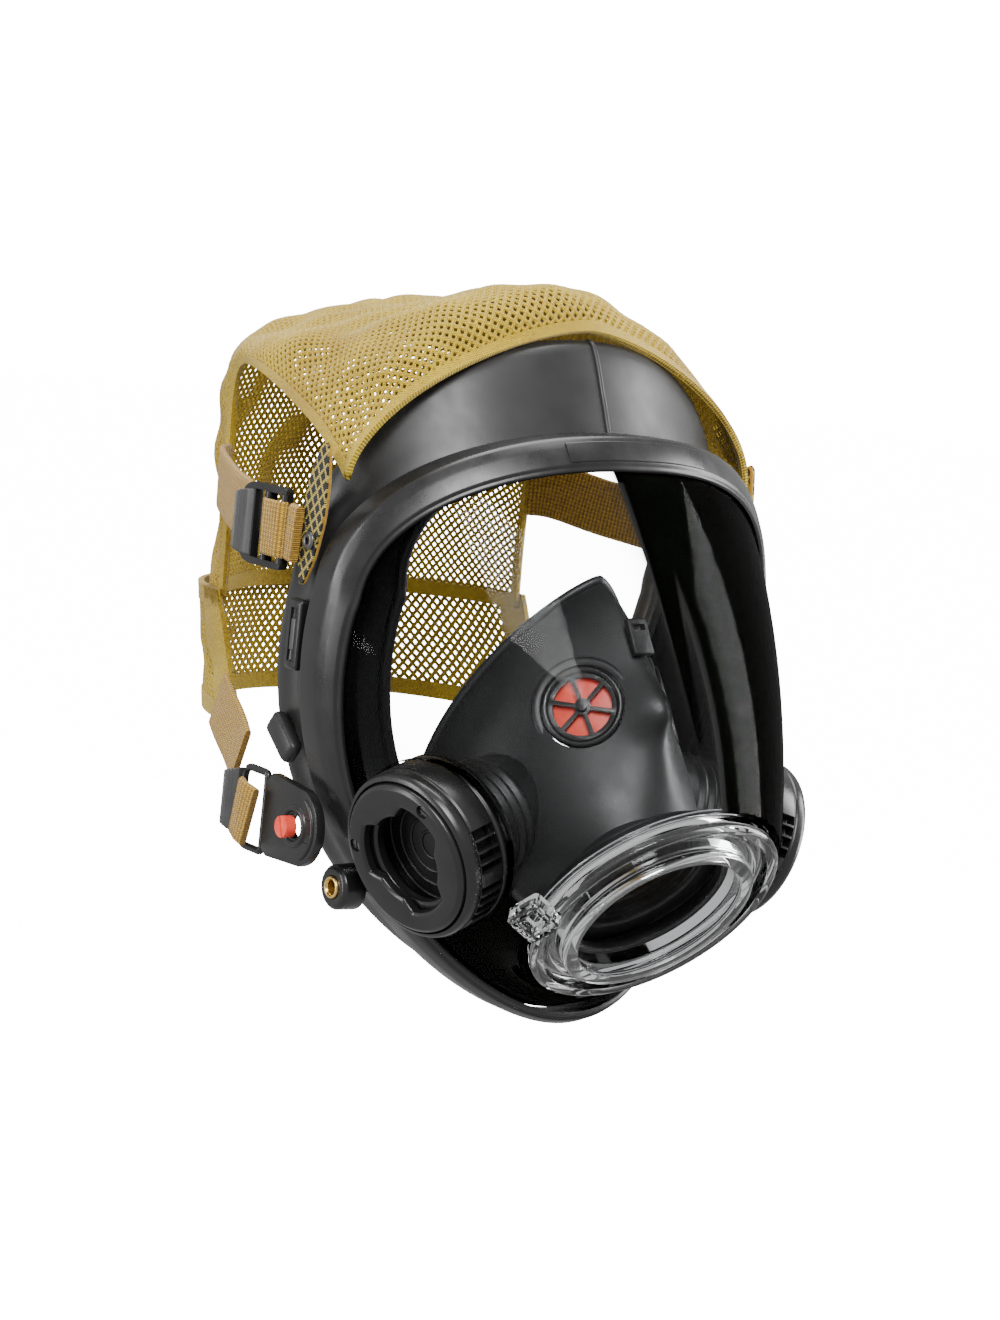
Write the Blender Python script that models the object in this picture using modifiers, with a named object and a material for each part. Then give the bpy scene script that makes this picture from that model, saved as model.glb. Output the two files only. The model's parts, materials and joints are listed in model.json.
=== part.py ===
"""Full face respirator: clear lens, clamping bezel, rubber face seal, nose cup, two voice
diaphragm drums, a regulator port and a net head harness with four buckled straps.

Frame: +Z up, -Y forward (the way the wearer looks), -X the wearer's right.
The origin lies midway between the eyes' level and the rim's sides, on the mid-plane.
"""
import math

import bmesh
import bpy
from mathutils import Matrix, Vector

MM = 0.001

# ---------------------------------------------------------------- driving dimensions
GAP = 0.4 * MM

RIM_HALF_WIDTH = 79.5 * MM
RIM_TOP = 50 * MM
RIM_CHIN = -120 * MM
RIM_MID = -5 * MM
RIM_POWER = 2.25
RIM_CHIN_POWER = 1.9
RIM_FRONT = -53.5 * MM
RIM_WRAP_RADIUS = 96 * MM
RIM_BOW_RADIUS = 500 * MM
RIM_TILT = 0.058
RIM_CHIN_WRAP = 100 * MM

BEZEL_DEPTH = 8 * MM
BEZEL_WALL = 3 * MM
BEZEL_LIP = 1.5 * MM
BEZEL_FACE = 9 * MM
BEZEL_SPLIT = math.radians(-35)
CHIN_SPLIT = math.radians(-45)

LENS_THICKNESS = 2.4 * MM
LENS_EDGE_IN = 4.5 * MM
LENS_EDGE_UNDER = 1.9 * MM

PORT_CENTRE = Vector((0, -82, -80.8)) * MM
PORT_DROP = math.radians(38)
PORT_FLANGE_RADIUS = 38 * MM
PORT_FLANGE_BACK = 6 * MM
SLEEVE_RADIUS = 23 * MM
SLEEVE_BACK = 20 * MM
BOSS_CENTRE = Vector((-43.5, -80.5, -78)) * MM

DRUM_CENTRE = Vector((-65, -48.5, -68.3)) * MM
DRUM_TURN = math.radians(80)
DRUM_DROP = math.radians(17)
DRUM_RADIUS = 24 * MM
MOUTH_RADIUS = 15.5 * MM

SEAL_THICKNESS = 2.4 * MM
CUP_THICKNESS = 2.4 * MM
CUP_HALF_WIDTH = 38 * MM
CUP_TOP = 8 * MM
CUP_WAIST = -62 * MM
CUP_CHIN = -104 * MM
VALVE_TURN = math.radians(58)
VALVE_REACH = 0.43
VALVE_RADIUS = 9 * MM
SEAT_RADIUS = 11.8 * MM

NET_THICKNESS = 2 * MM
WEB_THICKNESS = 1.8 * MM
WEB_WIDTH = 18 * MM

BUTTON_CENTRE = Vector((-72.4, -7, -68)) * MM
RIVET_CENTRE = Vector((-79.4, -9, 13)) * MM

# Stands a flat outline drawn in XY up in the YZ plane
STAND = Matrix(((0, 0, 1, 0), (1, 0, 0, 0), (0, 1, 0, 0), (0, 0, 0, 1)))
ROUND_STEPS = 28
RIM_STEPS = 40


# ---------------------------------------------------------------- scene helpers
def start_scene():
    """Empties the scene and makes the collections for the parts and for the cutters."""
    for item in list(bpy.data.objects):
        bpy.data.objects.remove(item, do_unlink=True)
    parts = bpy.data.collections.new("full_face_respirator")
    cutters = bpy.data.collections.new("cutters")
    bpy.context.scene.collection.children.link(parts)
    bpy.context.scene.collection.children.link(cutters)
    return parts, cutters


PARTS, CUTTERS = start_scene()


def material(name, colour, roughness, metallic=0.0, transmission=0.0):
    """A Principled material."""
    made = bpy.data.materials.get(name)
    if made:
        return made
    made = bpy.data.materials.new(name)
    made.use_nodes = True
    made.diffuse_color = (*colour, 1)
    shader = made.node_tree.nodes["Principled BSDF"]
    shader.inputs["Base Color"].default_value = (*colour, 1)
    shader.inputs["Roughness"].default_value = roughness
    shader.inputs["Metallic"].default_value = metallic
    shader.inputs["Transmission Weight"].default_value = transmission
    return made


def clear():
    return material("clear_polycarbonate", (0.85, 0.88, 0.9), 0.08, transmission=0.9)


def rubber():
    return material("black_rubber", (0.03, 0.03, 0.032), 0.5)


def hard_black():
    return material("black_nylon", (0.025, 0.025, 0.028), 0.38)


def netting():
    return material("yellow_netting", (0.62, 0.44, 0.1), 0.85)


def webbing_brown():
    return material("brown_webbing", (0.42, 0.27, 0.08), 0.9)


def red():
    return material("red_silicone", (0.85, 0.09, 0.05), 0.4)


def brass():
    return material("brass", (0.75, 0.55, 0.2), 0.3, metallic=1.0)


def steel():
    return material("dark_steel", (0.2, 0.2, 0.21), 0.35, metallic=1.0)


def add_object(name, mesh, look, collection=None):
    """Links a mesh as a named object with its material."""
    item = bpy.data.objects.new(name, mesh)
    (collection or PARTS).objects.link(item)
    if look:
        mesh.materials.clear()
        mesh.materials.append(look)
    return item


def mesh_from(work, name, smooth=True):
    """Turns a bmesh with its faces pointing out into a mesh."""
    bmesh.ops.recalc_face_normals(work, faces=work.faces[:])
    mesh = bpy.data.meshes.new(name)
    work.to_mesh(mesh)
    work.free()
    if smooth:
        mesh.shade_smooth()
        mesh.set_sharp_from_angle(angle=math.radians(35))
    return mesh


def baked(item):
    """Replaces an object's mesh by its evaluated mesh and drops its modifiers."""
    depsgraph = bpy.context.evaluated_depsgraph_get()
    depsgraph.update()
    mesh = bpy.data.meshes.new_from_object(item.evaluated_get(depsgraph), depsgraph=depsgraph)
    item.modifiers.clear()
    item.data = mesh
    return item


def solidify(item, thickness, offset=-1.0):
    """Gives an open surface its wall."""
    wall = item.modifiers.new("wall", "SOLIDIFY")
    wall.thickness = thickness
    wall.offset = offset
    wall.use_even_offset = True
    wall.use_quality_normals = True
    return baked(item)


def bevel(item, width, segments=1, angle=40):
    """Rounds an object's sharp edges."""
    edge = item.modifiers.new("round", "BEVEL")
    edge.width = width
    edge.segments = segments
    edge.limit_method = "ANGLE"
    edge.angle_limit = math.radians(angle)
    return baked(item)


def cut(item, cutter, operation="DIFFERENCE"):
    """Cuts an object by a cutter, or joins the cutter to it."""
    tool = item.modifiers.new("cut", "BOOLEAN")
    tool.operation = operation
    tool.solver = "EXACT"
    tool.object = cutter
    return baked(item)


def keep_largest(item):
    """Drops the slivers that a cut leaves beside an object's main body."""
    work = bmesh.new()
    work.from_mesh(item.data)
    waiting = set(work.verts)
    bodies = []
    while waiting:
        body = set()
        edge_of = [waiting.pop()]
        while edge_of:
            vert = edge_of.pop()
            body.add(vert)
            for edge in vert.link_edges:
                other = edge.other_vert(vert)
                if other in waiting:
                    waiting.remove(other)
                    edge_of.append(other)
        bodies.append(body)
    bodies.sort(key=len)
    for body in bodies[:-1]:
        bmesh.ops.delete(work, geom=list(body), context="VERTS")
    work.to_mesh(item.data)
    work.free()
    return item


def as_cutter(item):
    """Moves an object to the cutters, where it is a guide and not a part."""
    for owner in list(item.users_collection):
        owner.objects.unlink(item)
    CUTTERS.objects.link(item)
    item.hide_render = True
    item.display_type = "WIRE"
    return item


def place(item, origin, axis, turn=0.0):
    """Puts an object's local Z along an axis at a point, turned about it."""
    aim = Vector(axis).to_track_quat("Z", "Y").to_matrix().to_4x4()
    item.matrix_world = Matrix.Translation(origin) @ aim @ Matrix.Rotation(turn, 4, "Z")
    return item


def twin(source, name):
    """The other side's copy of a finished piece, reflected in the mid-plane."""
    bpy.context.view_layer.update()
    depsgraph = bpy.context.evaluated_depsgraph_get()
    mesh = bpy.data.meshes.new_from_object(source.evaluated_get(depsgraph), depsgraph=depsgraph)
    reflect = Matrix.Scale(-1, 4, (1, 0, 0))
    home = reflect @ source.matrix_world.translation
    mesh.transform(Matrix.Translation(-home) @ reflect @ source.matrix_world)
    mesh.flip_normals()
    item = add_object(name, mesh, None)
    item.location = home
    return item


def pair(source, name):
    """Names a right-hand piece and makes its left-hand twin."""
    source.name = name + "_right"
    return source, twin(source, name + "_left")


# ---------------------------------------------------------------- shape helpers
def loft(rings, closed=False, capped=True):
    """Quads between rings of equal length: a tube, a ring or a capped solid."""
    work = bmesh.new()
    rows = [[work.verts.new(point) for point in ring] for ring in rings]
    spans = list(zip(rows, rows[1:]))
    if closed:
        spans.append((rows[-1], rows[0]))
    for low, high in spans:
        for index in range(len(low)):
            other = (index + 1) % len(low)
            work.faces.new((low[index], low[other], high[other], high[index]))
    if capped and not closed:
        work.faces.new(rows[0])
        work.faces.new(list(reversed(rows[-1])))
    return work


def sheet(rows, wrap=False):
    """An open surface through rows of points, wrapped round when asked."""
    work = bmesh.new()
    verts = [[work.verts.new(point) for point in row] for row in rows]
    for low, high in zip(verts, verts[1:]):
        count = len(low) if wrap else len(low) - 1
        for index in range(count):
            other = (index + 1) % len(low)
            work.faces.new((low[index], low[other], high[other], high[index]))
    return work


def turned(name, profile, look, origin, axis, steps=ROUND_STEPS, closed=True):
    """A turned piece. The profile is (radius, height) in millimetres, down the outer side."""
    work = bmesh.new()
    verts = [work.verts.new((radius * MM, 0, height * MM)) for radius, height in profile]
    for low, high in zip(verts, verts[1:]):
        work.edges.new((low, high))
    if closed:
        work.edges.new((verts[-1], verts[0]))
    mesh = bpy.data.meshes.new(name)
    work.to_mesh(mesh)
    work.free()
    item = add_object(name, mesh, look)
    screw = item.modifiers.new("turn", "SCREW")
    screw.steps = steps
    screw.render_steps = steps
    screw.use_merge_vertices = True
    screw.merge_threshold = 0.00001
    baked(item)
    item.data.materials.clear()
    item.data.materials.append(look)
    item.data.shade_smooth()
    item.data.set_sharp_from_angle(angle=math.radians(35))
    return place(item, origin, axis)


def disc(name, radius, thickness, look, origin, axis, steps=ROUND_STEPS):
    """A solid disc from its front face back."""
    profile = [(0, 0), (radius / MM, 0), (radius / MM, -thickness / MM), (0, -thickness / MM)]
    return turned(name, profile, look, origin, axis, steps, closed=False)


def box(name, centre, size, look=None, turn=(0, 0, 0)):
    """A box primitive with its size applied."""
    bpy.ops.mesh.primitive_cube_add(size=1, location=centre, rotation=turn)
    item = bpy.context.object
    item.name = name
    item.data.transform(Matrix.Diagonal((*size, 1)))
    for owner in list(item.users_collection):
        owner.objects.unlink(item)
    PARTS.objects.link(item)
    if look:
        item.data.materials.append(look)
    return item


def outline_plate(name, loops, thickness, look):
    """A flat plate from closed outlines in its XY plane: the first is its edge, the rest are holes."""
    curve = bpy.data.curves.new(name, "CURVE")
    curve.dimensions = "2D"
    curve.fill_mode = "BOTH"
    curve.extrude = thickness / 2
    for loop in loops:
        spline = curve.splines.new("POLY")
        spline.points.add(len(loop) - 1)
        for point, (across, up) in zip(spline.points, loop):
            point.co = (across, up, 0, 1)
        spline.use_cyclic_u = True
    drawn = bpy.data.objects.new(name + "_outline", curve)
    PARTS.objects.link(drawn)
    depsgraph = bpy.context.evaluated_depsgraph_get()
    depsgraph.update()
    mesh = bpy.data.meshes.new_from_object(drawn.evaluated_get(depsgraph), depsgraph=depsgraph)
    bpy.data.objects.remove(drawn, do_unlink=True)
    work = bmesh.new()
    work.from_mesh(mesh)
    bmesh.ops.remove_doubles(work, verts=work.verts[:], dist=0.00001)
    return add_object(name, mesh_from(work, name, smooth=False), look)


def arc(centre, radius, start, end, steps):
    """Points along an arc in the plane, angles in degrees."""
    angles = [math.radians(start + (end - start) * i / steps) for i in range(steps + 1)]
    return [(centre[0] + radius * math.cos(a), centre[1] + radius * math.sin(a)) for a in angles]


def circle(centre, radius, steps=16):
    return arc(centre, radius, 0, 360, steps)[:-1]


def smooth_path(points, per_span=5):
    """Points along a smooth curve through the given ones."""
    ends = [points[0] * 2 - points[1]] + list(points) + [points[-1] * 2 - points[-2]]
    made = []
    for index in range(len(points) - 1):
        before, start, end, after = ends[index:index + 4]
        for step in range(per_span):
            t = step / per_span
            bend = 2 * before - 5 * start + 4 * end - after
            twist = 3 * start - before - 3 * end + after
            made.append((2 * start + (end - before) * t + bend * t * t + twist * t ** 3) / 2)
    made.append(points[-1].copy())
    return made


def webbing(name, points, across, width, look, thickness=WEB_THICKNESS, per_span=4):
    """A flat strap along a smooth path. Across holds its width's direction at each end."""
    path = smooth_path(points, per_span)
    rings = []
    for index, here in enumerate(path):
        ahead = path[min(index + 1, len(path) - 1)] - path[max(index - 1, 0)]
        share = index / (len(path) - 1)
        side = across[0].lerp(across[1], share)
        side = (side - ahead * (side.dot(ahead) / ahead.length_squared)).normalized() * width / 2
        face = ahead.cross(side).normalized() * thickness / 2
        rings.append([here + side + face, here - side + face, here - side - face, here + side - face])
    return add_object(name, mesh_from(loft(rings), name), look)


def wire(name, points, radius, look, cyclic=False):
    """A round wire through the points, made a closed mesh."""
    curve = bpy.data.curves.new(name, "CURVE")
    curve.dimensions = "3D"
    curve.bevel_depth = radius
    curve.bevel_resolution = 2
    curve.use_fill_caps = not cyclic
    spline = curve.splines.new("POLY")
    spline.points.add(len(points) - 1)
    for point, place_at in zip(spline.points, points):
        point.co = (*place_at, 1)
    spline.use_cyclic_u = cyclic
    drawn = bpy.data.objects.new(name + "_line", curve)
    PARTS.objects.link(drawn)
    depsgraph = bpy.context.evaluated_depsgraph_get()
    depsgraph.update()
    mesh = bpy.data.meshes.new_from_object(drawn.evaluated_get(depsgraph), depsgraph=depsgraph)
    bpy.data.objects.remove(drawn, do_unlink=True)
    work = bmesh.new()
    work.from_mesh(mesh)
    bmesh.ops.remove_doubles(work, verts=work.verts[:], dist=0.00001)
    return add_object(name, mesh_from(work, name), look)


# ---------------------------------------------------------------- the rim and the lens surface
def rim_depth(x, z):
    """Y of the rim surface: wrapped round the face and bowed at brow and chin."""
    wrap = 1 + 0.8 * max(0.0, -z) / RIM_CHIN_WRAP
    return RIM_FRONT + wrap * x * x / (2 * RIM_WRAP_RADIUS) + RIM_TILT * z + z * z / (2 * RIM_BOW_RADIUS)


def rim_point(angle):
    """The bezel's outer front corner, at an angle turned from +X up to +Z."""
    power = 2 / (RIM_POWER if math.sin(angle) > 0 else RIM_CHIN_POWER)
    reach = math.copysign(abs(math.cos(angle)) ** power, math.cos(angle))
    rise = math.copysign(abs(math.sin(angle)) ** power, math.sin(angle))
    height = RIM_TOP - RIM_MID if rise > 0 else RIM_MID - RIM_CHIN
    x = RIM_HALF_WIDTH * reach
    z = RIM_MID + height * rise
    return Vector((x, rim_depth(x, z), z))


def rim_tangent(angle):
    return (rim_point(angle + 0.02) - rim_point(angle - 0.02)).normalized()


def rim_inward(angle):
    """The direction into the facepiece in the XZ plane, square to the rim."""
    along = rim_tangent(angle)
    return Vector((-along.z, 0, along.x)).normalized()


def port_axis():
    return Vector((0, -math.cos(PORT_DROP), -math.sin(PORT_DROP)))


def port_up():
    return Vector((0, -math.sin(PORT_DROP), math.cos(PORT_DROP)))


def port_circle(angle, radius, back):
    """A point round the port, so far behind its front rim."""
    centre = PORT_CENTRE - port_axis() * back
    return centre + radius * (Vector((1, 0, 0)) * math.cos(angle) + port_up() * math.sin(angle))


def lens_bulge(angle):
    """How far the lens stands forward of a straight line from rim to port."""
    side = abs(math.cos(angle))
    brow = max(0.0, math.sin(angle))
    return (2 + 5 * side + 2 * brow) * MM


def lens_line(angle, share):
    """The lens's outer surface from the rim (0) to the port flange (1)."""
    start = rim_point(angle)
    end = port_circle(angle, PORT_FLANGE_RADIUS + LENS_THICKNESS, PORT_FLANGE_BACK)
    here = start.lerp(end, share)
    here.y -= lens_bulge(angle) * 4 * share * (1 - share)
    return here


def lens_frame(angle):
    """The rim's own directions: into the lens, out of its face, and in towards the middle."""
    along = rim_tangent(angle)
    slope = lens_line(angle, 0.06) - lens_line(angle, 0)
    inner = (slope - along * slope.dot(along)).normalized()
    outer = inner.cross(along)
    if outer.y > 0:
        outer.negate()
    return inner, outer, rim_inward(angle)


def rim_angles(start, end, steps):
    return [start + (end - start) * i / steps for i in range(steps + 1)]


def rim_loop():
    return [2 * math.pi * i / RIM_STEPS for i in range(RIM_STEPS)]


# ---------------------------------------------------------------- lens and bezel
def drum_axis():
    level = math.cos(DRUM_DROP)
    return Vector((-math.sin(DRUM_TURN) * level, -math.cos(DRUM_TURN) * level, -math.sin(DRUM_DROP)))


def drum_point(height):
    return DRUM_CENTRE + drum_axis() * height * MM


def drum_cutters(radius, front=16, back=-26):
    """A cylinder round each voice drum."""
    made = []
    for side in (1, -1):
        axis = drum_axis()
        middle = drum_point((front + back) / 2)
        axis.x *= side
        middle.x *= side
        bpy.ops.mesh.primitive_cylinder_add(vertices=ROUND_STEPS, radius=radius, depth=(front - back) * MM)
        made.append(as_cutter(place(bpy.context.object, middle, axis)))
    return made


def make_lens():
    """The clear lens, from the bezel's groove to the port, with a bay for each voice drum."""
    rows = []
    for share in (0, 0.1, 0.3, 0.55, 0.8, 1):
        row = []
        for angle in rim_loop():
            inner, outer, _ = lens_frame(angle)
            inset = inner * LENS_EDGE_IN * (1 - share) ** 2
            under = outer * LENS_EDGE_UNDER * (1 - share ** 3)
            row.append(lens_line(angle, share) + inset - under)
        rows.append(row)
    item = add_object("lens", mesh_from(sheet(rows, wrap=True), "lens"), clear())
    face_forward(item)
    solidify(item, LENS_THICKNESS)
    for cutter in drum_cutters(DRUM_RADIUS + 0.8 * MM):
        cut(item, cutter)
    return keep_largest(item)


def face_forward(item, direction=Vector((0, -1, 0))):
    """Turns an open surface so that its faces look along a direction on the whole."""
    total = Vector()
    for face in item.data.polygons:
        total += face.normal * face.area
    if total.dot(direction) < 0:
        item.data.flip_normals()
    return item


def bezel_section(angle):
    """The bezel's cross-section at an angle: face, lip, groove, wall."""
    inner, outer, inward = lens_frame(angle)
    corner = rim_point(angle)
    face = BEZEL_FACE + 1.5 * MM * math.sin(angle) - 2.2 * MM * max(0.0, -math.sin(angle)) ** 4
    back = Vector((0, BEZEL_DEPTH, 0))
    return [
        corner,
        corner + inner * face,
        corner + inner * (face + 0.3 * MM) - outer * BEZEL_LIP,
        corner + inner * BEZEL_WALL - outer * BEZEL_LIP,
        corner + inward * BEZEL_WALL + back,
        corner + back,
    ]


def make_bezel():
    """The clamping bezel in two halves, parted at the lugs on either side of the chin."""
    spans = (
        ("bezel_upper", BEZEL_SPLIT, math.pi - BEZEL_SPLIT, 44),
        ("bezel_lower", -math.pi - CHIN_SPLIT, CHIN_SPLIT, 20),
    )
    for name, start, end, steps in spans:
        rings = [bezel_section(angle) for angle in rim_angles(start, end, steps)]
        item = add_object(name, mesh_from(loft(rings), name), hard_black())
        for cutter in drum_cutters(DRUM_RADIUS + 1.2 * MM):
            cut(item, cutter)
        keep_largest(item)


def make_clamp_lugs():
    """The lug and brass insert that close the bezel, and the clip above them."""
    centre = Vector((-64.5, -15.5, -84)) * MM
    axis = Vector((-1, 0, 0))
    lug = turned("clamp_lug", [(3.6, 0), (5.6, 0), (6.2, -0.7), (6.2, -7.2), (3.6, -7.2)],
                 hard_black(), centre, axis, 24)
    insert = turned("brass_insert", [(1.9, 0.6), (2.9, 0.6), (3.2, 0.2), (3.2, -6), (1.9, -6)],
                    brass(), centre, axis, 20)
    clip = box("bezel_clip", Vector((-76.9, -3.6, -14)) * MM, Vector((3.2, 5.6, 19)) * MM, hard_black())
    bevel(clip, 0.8 * MM, 2)
    for item, name in ((lug, "clamp_lug"), (insert, "brass_insert"), (clip, "bezel_clip")):
        pair(item, name)


# ---------------------------------------------------------------- regulator port
def make_port():
    """The clear port collar, its gasket, its rubber sleeve and the diamond boss beside it."""
    axis = port_axis()
    collar = [(25, 0), (28.6, 0), (29.2, -0.8), (29.2, -6), (34.4, -6), (34.4, -2.6), (36.6, -2), (38, -3),
              (38, -9), (36, -9), (36, -8.2), (25, -8.2)]
    turned("port_collar", collar, clear(), PORT_CENTRE, axis, 36)
    gasket = [(23.4, -8.6), (31, -8.6), (31, -14), (26.4, -14), (26.4, -11), (23.4, -11)]
    turned("port_gasket", gasket, rubber(), PORT_CENTRE, axis, 28)
    wall = SLEEVE_RADIUS / MM
    sleeve = [(wall - 2.4, -14.4), (29, -14.4), (29, -16), (wall, -17), (wall, -SLEEVE_BACK / MM - 2),
              (wall - 2.4, -SLEEVE_BACK / MM - 2)]
    turned("port_sleeve", sleeve, rubber(), PORT_CENTRE, axis, 28)
    make_boss()


def make_boss():
    """The clear diamond boss that locks the regulator, on the port's right-hand side."""
    half = 7.6 * MM
    diamond = [(half, 0), (0, half), (-half, 0), (0, -half)]
    window = [(x * 0.5, y * 0.5) for x, y in diamond]
    item = outline_plate("coupling_boss", [diamond, window], 5 * MM, clear())
    bevel(item, 0.8 * MM, 1, 30)
    place(item, BOSS_CENTRE, port_axis() * 0.8 - Vector((0.6, 0, 0)))


# ---------------------------------------------------------------- face seal
def seal_offsets(angle):
    """The seal's section at an angle: (inward, back) from the rim's corner, in millimetres."""
    brow = max(0.0, math.sin(angle)) ** 2.2
    chin = max(0.0, -math.sin(angle)) ** 2
    cheek = 1 - brow - chin
    side = [(4.7, 4.4), (5, 10), (6, 17), (7, 25), (10, 30), (17, 31), (23, 27)]
    top = [(4.7, 4.4), (4.7, 10.8), (-7, 16.6), (-22, 24), (-21, 30), (-11, 33), (2, 33)]
    base = [(4.7, 5.8), (4.9, 11), (5, 20), (5, 32), (9, 39), (18, 41), (26, 36)]
    mixed = []
    for cheek_at, brow_at, chin_at in zip(side, top, base):
        inward = cheek * cheek_at[0] + brow * brow_at[0] + chin * chin_at[0]
        back = cheek * cheek_at[1] + brow * brow_at[1] + chin * chin_at[1]
        mixed.append((inward * MM, back * MM))
    return mixed


def make_face_seal():
    """The rubber seal: a flange in the bezel, a skirt, and a lip turned in on to the face."""
    columns = []
    for angle in rim_loop():
        corner = rim_point(angle)
        inward = rim_inward(angle)
        corners = [corner + inward * i + Vector((0, b, 0)) for i, b in seal_offsets(angle)]
        columns.append(corners)
    rows = [list(row) for row in zip(*columns)]
    item = add_object("face_seal", mesh_from(sheet(rows, wrap=True), "face_seal"), rubber())
    solidify(item, SEAL_THICKNESS, 0.0)
    return item


# ---------------------------------------------------------------- nose cup
def cup_lip(angle):
    """The nose cup's face-side edge, narrow at the nose bridge and round under the chin."""
    rise = math.sin(angle)
    power = 1.6 if rise > 0 else 0.95
    reach = math.copysign(abs(math.cos(angle)) ** power, math.cos(angle))
    height = CUP_TOP - CUP_WAIST if rise > 0 else CUP_WAIST - CUP_CHIN
    x = CUP_HALF_WIDTH * reach
    z = CUP_WAIST + height * rise
    y = (-38 + 16 * abs(reach) ** 1.2 - 0.14 * z / MM) * MM
    return Vector((x, y, z))


def cup_surface(angle, share):
    """The nose cup's outer surface from the lip (0) to the port sleeve (1)."""
    start = cup_lip(angle)
    end = port_circle(angle, SLEEVE_RADIUS - 4 * MM, SLEEVE_BACK)
    here = start.lerp(end, share)
    over = max(0.0, math.sin(angle))
    swell = math.sin(math.pi * share ** (1 - 0.35 * over))
    nose = over ** 12
    here.y -= (3 + 8 * nose) * MM * swell
    here.x += 4 * MM * math.cos(angle) * swell
    return here


def cup_normal(angle, share):
    step = 0.03
    along = cup_surface(angle + step, share) - cup_surface(angle - step, share)
    across = cup_surface(angle, share + step) - cup_surface(angle, share - step)
    normal = along.cross(across).normalized()
    return normal if normal.y < 0 else -normal


def valve_place():
    """The right-hand inhalation valve's centre and axis on the nose cup."""
    angle = math.pi - VALVE_TURN
    return cup_surface(angle, VALVE_REACH), cup_normal(angle, VALVE_REACH)


def make_nose_cup():
    """The rubber nose cup, open to the face, the port, both drums and both valves."""
    rows = []
    for share in (0, 0.14, 0.3, 0.46, 0.62, 0.8, 1):
        rows.append([cup_surface(angle, share) for angle in rim_loop()])
    item = add_object("nose_cup", mesh_from(sheet(rows, wrap=True), "nose_cup"), rubber())
    face_forward(item)
    solidify(item, CUP_THICKNESS)
    for cutter in drum_cutters(18 * MM, -10, -50):
        cut(item, cutter)
    bpy.ops.mesh.primitive_cylinder_add(vertices=ROUND_STEPS, radius=SLEEVE_RADIUS + GAP, depth=24 * MM)
    cut(item, as_cutter(place(bpy.context.object, PORT_CENTRE - port_axis() * 24 * MM, port_axis())))
    centre, axis = valve_place()
    for side in (1, -1):
        bpy.ops.mesh.primitive_cylinder_add(vertices=ROUND_STEPS, radius=SEAT_RADIUS + GAP, depth=16 * MM)
        spot = Vector((centre.x * side, centre.y, centre.z))
        aim = Vector((axis.x * side, axis.y, axis.z))
        cut(item, as_cutter(place(bpy.context.object, spot, aim)))
    tab_at = cup_surface(math.pi / 2, 0.23)
    tab = box("nose_cup_tab", tab_at + Vector((0, -1.9 * MM, 1 * MM)), Vector((7, 2, 11)) * MM, rubber(),
              (math.radians(-32), 0, 0))
    bevel(tab, 0.5 * MM, 1)
    return item


def make_valves():
    """Each inhalation valve: a spoked seat and the red disc that lifts off behind it."""
    centre, axis = valve_place()
    outer = SEAT_RADIUS
    inner = VALVE_RADIUS
    windows = []
    for spoke in range(6):
        middle = spoke * 60 + 30
        rim = arc((0, 0), inner - 0.6 * MM, middle - 25, middle + 25, 3)
        hub = arc((0, 0), 2.2 * MM, middle + 14, middle - 14, 1)
        windows.append(rim + hub)
    seat = outline_plate("valve_seat", [circle((0, 0), outer, 24)] + windows, 1.6 * MM, rubber())
    place(seat, centre + axis * 0.6 * MM, axis)
    pair(seat, "valve_seat")
    flap = disc("inhalation_valve", inner, 0.9 * MM, red(), centre + axis * (-0.2 * MM - GAP), axis, 24)
    pair(flap, "inhalation_valve")


# ---------------------------------------------------------------- voice drums
def make_drums():
    """Each voice drum: housing, bayonet ring, diaphragm, duct to the nose cup and two screws."""
    axis = drum_axis()
    centre = DRUM_CENTRE
    shell = [(19.4, -2.8), (21.9, -2.8), (22.2, -1), (24, -3), (24, -17), (21.8, -17), (21.8, -13),
             (19.4, -13)]
    housing = turned("voice_drum", shell, hard_black(), centre, axis)
    cut(housing, port_clearance())
    for turn in (-28, 12):
        slot = box("drum_slot", (0, 0, 0), Vector((9, 15, 7)) * MM)
        angle = math.radians(turn)
        spot = Vector((24.5 * MM * math.cos(angle), 24.5 * MM * math.sin(angle), -9 * MM))
        slot.matrix_world = housing.matrix_world @ Matrix.Translation(spot) @ Matrix.Rotation(angle, 4, "Z")
        cut(housing, as_cutter(slot))
    pair(housing, "voice_drum")
    make_bayonet_ring(centre, axis)
    film = disc("voice_diaphragm", 19 * MM, 0.6 * MM, rubber(), drum_point(-11), axis)
    pair(film, "voice_diaphragm")
    folds = [(13, -13.6), (21.4, -13.6), (21.4, -17.4), (23.8, -17.8), (23.8, -19), (21.8, -19.6),
             (21.8, -20.4), (18, -21.4), (16.4, -22.6), (16.4, -33), (13, -33)]
    duct = turned("voice_duct", folds, rubber(), centre, axis)
    cut(duct, port_clearance())
    pair(duct, "voice_duct")


def port_clearance():
    """The room round the port collar that the drums and their ducts keep clear of."""
    bpy.ops.mesh.primitive_cylinder_add(vertices=40, radius=PORT_FLANGE_RADIUS + 1 * MM, depth=28 * MM)
    return as_cutter(place(bpy.context.object, PORT_CENTRE - port_axis() * 12 * MM, port_axis()))


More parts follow.
